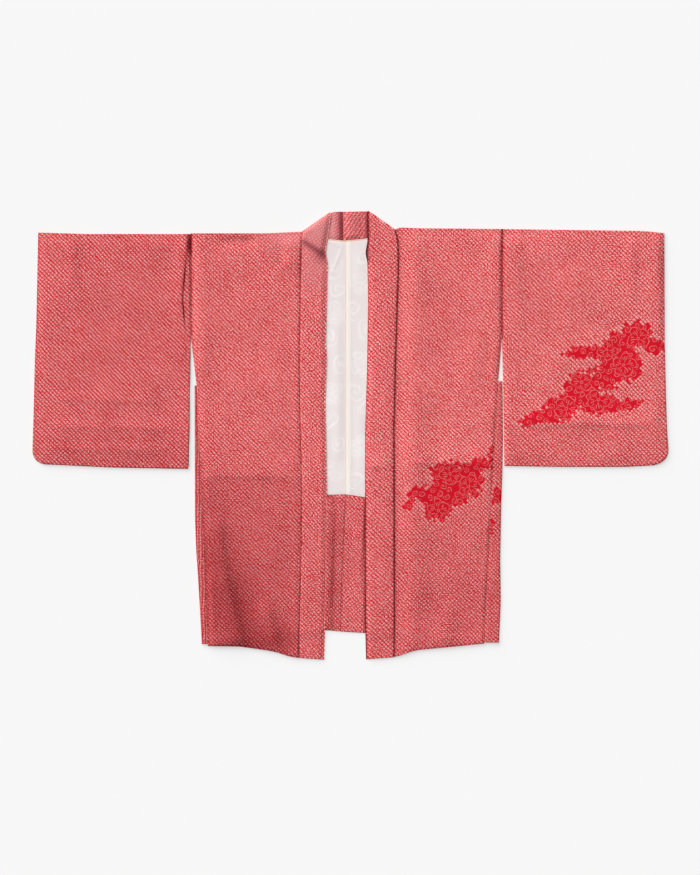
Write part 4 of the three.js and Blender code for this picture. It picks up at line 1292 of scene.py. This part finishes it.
def shibori(name, groups, tone, pitch, turn, grain, clouds):
    """Red silk crepe with pale tie-dyed dots, each a small peak with a red pip, and clouds of plain red on
    some pieces. `tone` is the depth of colour of the piece, lowered on the gussets to paint their shade,
    `pitch` the spacing of its dots in millimetres and `grain` how crinkled the silk is."""
    material, n, shader, cloth = new_material(name, 0.8)
    dots = n.group(groups["dots"], Cloth=cloth, Pitch=pitch * MM, Turn=math.radians(turn))

    # every dot takes its own share of the dye, which varies in patches and blotches over the cloth as well
    patchy = n.noise(cloth, 14.0)["Fac"]
    fine = n.noise(cloth, 900.0)["Fac"]
    blotchy = n.noise(cloth, 55.0)["Fac"]
    strength = n.times_plus(dots["Chance"], 0.34, 0.78)
    strength = n.times(strength, n.ramp(patchy, 0.25, 0.75, 0.9, 1.1))
    strength = n.times(strength, n.ramp(blotchy, 0.28, 0.72, 0.84, 1.16))
    dot = n.times(dots["Dot"], strength, clamp=True)
    dot = n.times(dot, n.times_plus(dots["Pip"], -0.5, 1.0))

    # the crinkle of the crepe breaks the dots up, and in places they run into an even tone
    crinkle = n.noise(cloth, 400.0, 0.0)["Fac"]
    even = n.ramp(n.noise(cloth, 70.0)["Fac"], 0.35, 0.65, 0.0, 0.36 * grain)
    dot = n.plus(n.times(dot, n.minus(1.0, even)), n.times(even, 0.40))
    dot = n.times(dot, n.ramp(crinkle, 0.25, 0.75, 0.5, 1.5))
    dot = n.plus(dot, n.ramp(crinkle, 0.25, 0.75, -0.19 * grain, 0.19 * grain), clamp=True)

    deep = n.colour(n.ramp(patchy, 0.3, 0.7), rgba("red_deep"), rgba("red_light"))
    pale = n.colour(dots["Chance"], rgba("dot_pale"), rgba("dot_dull"))
    cloth_colour = n.colour(dot, deep, pale)
    height = n.times_plus(fine, 0.12, dots["Height"])

    # the clouds leave out whole dots, those beside them stand out paler, and the drawing in them is beaded
    if clouds:
        reach, lines = cloud_nodes(n, clouds, cloth, dots["Spot"], groups)
        area = n.below(reach, 1.0)
        bordering = n.times(n.below(reach, 1.16), n.minus(1.0, area))
        ringed = n.times(bordering, n.times(dots["Dot"], n.minus(1.0, dots["Pip"])))
        cloth_colour = n.colour(n.times(ringed, 0.6), cloth_colour, rgba("dot_pale"))
        beads = n.group(groups["dots"], Cloth=cloth, Pitch=0.0021, Turn=math.radians(20))["Dot"]
        drawn = n.times(lines, n.times_plus(beads, 0.6, 0.32))
        plain = n.colour(drawn, rgba("cloud_red"), rgba("line_pale"))
        cloth_colour = n.colour(area, cloth_colour, plain)
        flat_height = n.times_plus(drawn, 0.6, n.times(fine, 0.3))
        height = n.plus(n.times(height, n.minus(1.0, area)), n.times(flat_height, area))

    # The haze mixes in an even pink, also the colour of the painted shade on the collar's fold, and the tone
    # attribute holds the painted shade and light of folds, seams, edges and press lines.
    cloth_colour = n.colour(n.attribute("haze"), cloth_colour, rgba("haze_and_shade_pink"))
    depth = n.times(n.attribute("tone"), tone)
    shade = n.join(*(n.power(depth, share) for share in SHADE_POWERS))
    n.set(shader.inputs["Base Color"], n.vector("MULTIPLY", cloth_colour, shade))
    bump(n, shader, height, 0.55, 0.0011)
    return material


def figured_silk(name, left, shapes):
    """White lining silk: faint large blossoms and tendrils woven in, a beige line of stitches down the seam
    and, wider on the side that the seam allowance is pressed to, a creamier strip."""
    material, n, shader, cloth = new_material(name, 0.42)
    u, v, _ = n.parts(cloth)
    sway = n.sway(cloth, 24.0, 0.03)
    bent = n.vector("ADD", cloth, sway)
    figure = None
    for blossom in WOVEN[name]["blossoms"]:
        found = draw(n, shapes["blossom"], bent, 0.0022, *blossom)
        petals = n.times_plus(found["Mask"], 0.75, n.times(found["Fill"], 0.25))
        figure = petals if figure is None else n.highest(figure, petals)
    for *tendril, hand in WOVEN[name]["tendrils"]:
        found = draw(n, shapes["tendril"], bent, 0.0028, *tendril, Hand=float(hand))["Mask"]
        figure = n.highest(figure, found)
    cloudy = n.ramp(n.noise(cloth, 34.0)["Fac"], 0.35, 0.65, 0.45, 1.0)
    figure = n.times(figure, cloudy)
    colour = n.colour(figure, rgba("lining_white"), rgba("lining_figure"))
    away = n.absolute(u)
    strip = n.ramp(away, *((0.0092, 0.0105, 0.8) if left else (0.0036, 0.005, 0.5)), 0.0)
    colour = n.colour(strip, colour, rgba("lining_strip"))
    colour = n.colour(n.ramp(away, 0.0006, 0.0016, 0.8, 0.0), colour, rgba("seam_beige"))
    colour = n.colour(n.attribute("haze"), colour, rgba("neck_trim"))
    n.set(shader.inputs["Base Color"], colour)
    n.set(shader.inputs["Roughness"], n.ramp(figure, 0.0, 1.0, 0.5, 0.36))
    rib = n.sine(n.times(v, 2 * math.pi / 0.0011))
    bump(n, shader, n.times_plus(rib, 0.1, figure), 0.15, 0.0003)
    return material


def cream_silk(name):
    """Plain cream silk with a fine rib."""
    material, n, shader, cloth = new_material(name, 0.5, 0.1)
    _, v, _ = n.parts(cloth)
    patchy = n.noise(cloth, 40.0)["Fac"]
    n.set(shader.inputs["Base Color"], n.colour(patchy, rgba("sleeve_lining"), rgba("sleeve_lining", 0.9)))
    bump(n, shader, n.sine(n.times(v, 2 * math.pi / 0.0012)), 0.2, 0.0002)
    return material


def silk_groups():
    """The shared node groups, made once."""
    makers = {"dots": ("tie_dyed_dots", dots_group), "blossom": ("blossom_lines", flower_group),
              "tendril": ("tendril_lines", scroll_group), "ellipse": ("ellipse", blob_group),
              "field": ("tendril_field", field_group)}
    return {key: bpy.data.node_groups.get(name) or make() for key, (name, make) in makers.items()}


# ---- Settings ----


def length(name, default, description):
    return bpy.props.FloatProperty(name=name, default=default, description=description, min=0,
                                   unit="LENGTH", precision=4)


def tint(name, default, description):
    return bpy.props.FloatVectorProperty(name=name, default=default, description=description, min=0, max=1,
                                         subtype="COLOR")


class HaoriSizes(bpy.types.PropertyGroup):
    front_loft: length("Front loft", 0.0022, "How far a front stands above the layers under it")
    sleeve_loft: length("Sleeve loft", 0.0022, "How far the upper cloth of a sleeve stands above its lining")
    dot_pitch: length("Dot pitch", 0.0058, "Spacing of the tie-dyed dots")
    camera_height: length("Camera height", 8.0, "Height of the camera over the floor")


class HaoriColours(bpy.types.PropertyGroup):
    red_deep: tint("Deep red", (0.58, 0.008, 0.022), "Dye between the dots")
    red_light: tint("Light red", (0.66, 0.020, 0.036), "Dye where it took less")
    dot_pale: tint("Dot", (0.955, 0.425, 0.395), "Undyed peak of a dot")
    dot_dull: tint("Dull dot", (0.87, 0.42, 0.41), "Peak of a dot that took some dye")
    # The even pink also colours the painted shade on the collar's fold and beside the left band's free edge.
    haze_and_shade_pink: tint("Even pink", (0.73, 0.265, 0.275), "Where the dots have run together")
    cloud_red: tint("Cloud red", (0.65, 0.006, 0.022), "Plain red of the clouds")
    line_pale: tint("Drawn line", (0.84, 0.25, 0.23), "Blossoms and tendrils in the clouds")
    lining_white: tint("Lining", (0.82, 0.745, 0.74), "Ground of the back lining")
    lining_figure: tint("Lining figure", (0.875, 0.828, 0.818), "Figure woven in the back lining")
    neck_trim: tint("Neck seam", (0.80, 0.46, 0.30), "Edge of the lining along the collar band")
    lining_strip: tint("Lining strip", (0.885, 0.825, 0.785), "Seam allowance beside the centre seam")
    seam_beige: tint("Seam line", (0.80, 0.62, 0.50), "Stitches of the centre seam")
    sleeve_lining: tint("Sleeve lining", (0.94, 0.84, 0.74), "Silk inside the sleeves")
    floor: tint("Floor", (0.36, 0.36, 0.36), "Studio floor")


# ---- Operators ----

# Each piece of shibori silk: depth of colour, lower on the gussets to paint their shade, share of the dot
# pitch, turn of the lattice in degrees, and grain.
DYES = {
    "body_right": (0.98, 1.0, 45, 1.0),
    "body_left": (1.01, 1.0, 45, 1.15),
    "sleeve_right": (0.93, 1.02, 45, 0.6),
    "sleeve_left": (1.0, 1.04, 45, 1.1),
    "gusset_right": (0.86, 1.0, 90, 1.0),
    "gusset_left": (0.82, 1.0, 45, 1.0),
    "collar_right": (1.0, 1.0, 45, 1.2),
    "collar_left": (0.99, 1.04, 45, 1.2),
}


def red_silk(piece_name):
    tone, share, turn, grain = DYES[piece_name]
    pitch = bpy.context.scene.haori_sizes.dot_pitch / MM * share
    clouds = piece_name if piece_name in CLOUDS else None
    return shibori(f"shibori_{piece_name}", silk_groups(), tone, pitch, turn, grain, clouds)


class HAORI_OT_body(bpy.types.Operator):
    """Cut the two body lengths, each from the turned-up hem over the back and shoulder to the front hem"""

    bl_idname = "haori.body"
    bl_label = "Body"

    def execute(self, context):
        loft = context.scene.haori_sizes.front_loft / MM
        for side in SIDES.values():
            piece = body_sheet(side, loft)
            thicken(piece, CLOTH)
            dress(piece, f"body_{side.name}", red_silk(f"body_{side.name}"))
        return {"FINISHED"}


class HAORI_OT_sleeves(bpy.types.Operator):
    """Cut the two sleeves, folded along the top"""

    bl_idname = "haori.sleeves"
    bl_label = "Sleeves"

    def execute(self, context):
        loft = context.scene.haori_sizes.sleeve_loft / MM
        for side in SIDES.values():
            piece = sleeve_sheet(side, loft)
            thicken(piece, CLOTH)
            dress(piece, f"sleeve_{side.name}", red_silk(f"sleeve_{side.name}"))
        return {"FINISHED"}


class HAORI_OT_gussets(bpy.types.Operator):
    """Cut the two side gussets"""

    bl_idname = "haori.gussets"
    bl_label = "Gussets"

    def execute(self, context):
        for side in SIDES.values():
            piece = gusset_sheet(side)
            thicken(piece, CLOTH)
            dress(piece, f"gusset_{side.name}", red_silk(f"gusset_{side.name}"))
        return {"FINISHED"}


class HAORI_OT_collar(bpy.types.Operator):
    """Cut the two lengths of the collar band"""

    bl_idname = "haori.collar"
    bl_label = "Collar"

    def execute(self, context):
        for side in SIDES.values():
            piece = collar_sheet(side)
            thicken(piece, COLLAR_SKIN, -1.0)
            dress(piece, f"collar_{side.name}", red_silk(f"collar_{side.name}"))
        return {"FINISHED"}


class HAORI_OT_back_lining(bpy.types.Operator):
    """Cut the two halves of the back lining"""

    bl_idname = "haori.back_lining"
    bl_label = "Back lining"

    def execute(self, context):
        for side in SIDES.values():
            piece = back_lining_sheet(side)
            thicken(piece, LINING)
            silk = figured_silk(f"lining_{side.name}", side is LEFT, silk_groups())
            dress(piece, f"lining_back_{side.name}", silk)
        return {"FINISHED"}


class HAORI_OT_sleeve_lining(bpy.types.Operator):
    """Cut the band of lining inside the open edge of each sleeve"""

    bl_idname = "haori.sleeve_lining"
    bl_label = "Sleeve lining"

    def execute(self, context):
        for side in SIDES.values():
            piece = sleeve_lining_sheet(side)
            thicken(piece, LINING)
            silk = cream_silk(f"cream_{side.name}")
            dress(piece, f"sleeve_lining_{side.name}", silk)
        return {"FINISHED"}


VIEW_HEIGHT = 1.75  # metres of floor that the view takes in from top to bottom
VIEW_CENTRE = (-0.001, -0.005)
SENSOR_WIDTH = 36
KEY_SOURCE = (-2.4, 3.0, 2.5)
KEY_POWER = 4.45
KEY_ANGLE = 62.0
FILL = 0.24
FLOOR_GLOW = 0.570
FLOOR_HALF = 6.0
FLOOR_Z = -0.0004


def soft_sun(name, source, spread_degrees, strength):
    """Parallel light that comes from the direction `source`, soft-edged by its angle."""
    lamp = bpy.data.lights.new(name, "SUN")
    lamp.angle = math.radians(spread_degrees)
    lamp.energy = strength
    item = bpy.data.objects.new(name, lamp)
    item.location = source
    item.rotation_euler = (-item.location).to_track_quat("-Z", "Y").to_euler()
    bpy.context.scene.collection.objects.link(item)


class HAORI_OT_studio(bpy.types.Operator):
    """Set the pale floor, the soft light from the upper left and the camera straight above"""

    bl_idname = "haori.studio"
    bl_label = "Studio"

    def execute(self, context):
        scene = context.scene
        signs = [(-1, -1), (1, -1), (1, 1), (-1, 1)]
        corners = [(FLOOR_HALF * x, FLOOR_HALF * y, FLOOR_Z) for x, y in signs]
        mesh = bpy.data.meshes.new("floor")
        mesh.from_pydata(corners, [], [(0, 1, 2, 3)])
        floor = bpy.data.objects.new("floor", mesh)
        scene.collection.objects.link(floor)
        material = bpy.data.materials.new("floor_paper")
        material.use_nodes = True
        n = Nodes(material.node_tree)
        shader = material.node_tree.nodes["Principled BSDF"]
        coordinates = n.add("ShaderNodeTexCoord").outputs["Object"]
        grain = n.noise(coordinates, 3.0)["Fac"]
        n.set(shader.inputs["Base Color"], n.colour(grain, rgba("floor"), rgba("floor", 0.995)))
        shader.inputs["Roughness"].default_value = 0.9
        shader.inputs["Specular IOR Level"].default_value = 0.0
        shader.inputs["Emission Color"].default_value = (1, 1, 1, 1)
        shader.inputs["Emission Strength"].default_value = FLOOR_GLOW
        floor.data.materials.append(material)

        world = bpy.data.worlds.new("studio")
        world.use_nodes = True
        background = world.node_tree.nodes["Background"]
        background.inputs["Color"].default_value = (1, 1, 1, 1)
        background.inputs["Strength"].default_value = FILL
        scene.world = world
        soft_sun("key", KEY_SOURCE, KEY_ANGLE, KEY_POWER)

        camera = bpy.data.objects.new("camera", bpy.data.cameras.new("camera"))
        camera.data.sensor_width = SENSOR_WIDTH
        height = scene.haori_sizes.camera_height
        camera.data.lens = SENSOR_WIDTH * height / VIEW_HEIGHT
        camera.data.clip_end = 50
        camera.location = (*VIEW_CENTRE, height)
        scene.collection.objects.link(camera)
        scene.camera = camera
        scene.view_settings.view_transform = "Standard"
        return {"FINISHED"}


class HAORI_PT_panel(bpy.types.Panel):
    """Sizes, colours and pieces of the haori"""

    bl_idname = "HAORI_PT_panel"
    bl_label = "Haori"
    bl_space_type = "VIEW_3D"
    bl_region_type = "UI"
    bl_category = "Haori"

    def draw(self, context):
        for settings in (context.scene.haori_sizes, context.scene.haori_colours):
            for name in settings.__annotations__:
                self.layout.prop(settings, name)
        for operator in OPERATORS:
            self.layout.operator(operator.bl_idname)


OPERATORS = (
    HAORI_OT_body,
    HAORI_OT_sleeves,
    HAORI_OT_gussets,
    HAORI_OT_collar,
    HAORI_OT_back_lining,
    HAORI_OT_sleeve_lining,
    HAORI_OT_studio,
)
CLASSES = (HaoriSizes, HaoriColours) + OPERATORS + (HAORI_PT_panel,)


def register():
    for item in CLASSES:
        bpy.utils.register_class(item)
    bpy.types.Scene.haori_sizes = bpy.props.PointerProperty(type=HaoriSizes)
    bpy.types.Scene.haori_colours = bpy.props.PointerProperty(type=HaoriColours)


def unregister():
    del bpy.types.Scene.haori_colours
    del bpy.types.Scene.haori_sizes
    for item in reversed(CLASSES):
        bpy.utils.unregister_class(item)


def main():
    register()
    for operator in OPERATORS:
        area, name = operator.bl_idname.split(".")
        getattr(getattr(bpy.ops, area), name)()


if __name__ == "__main__":
    main()
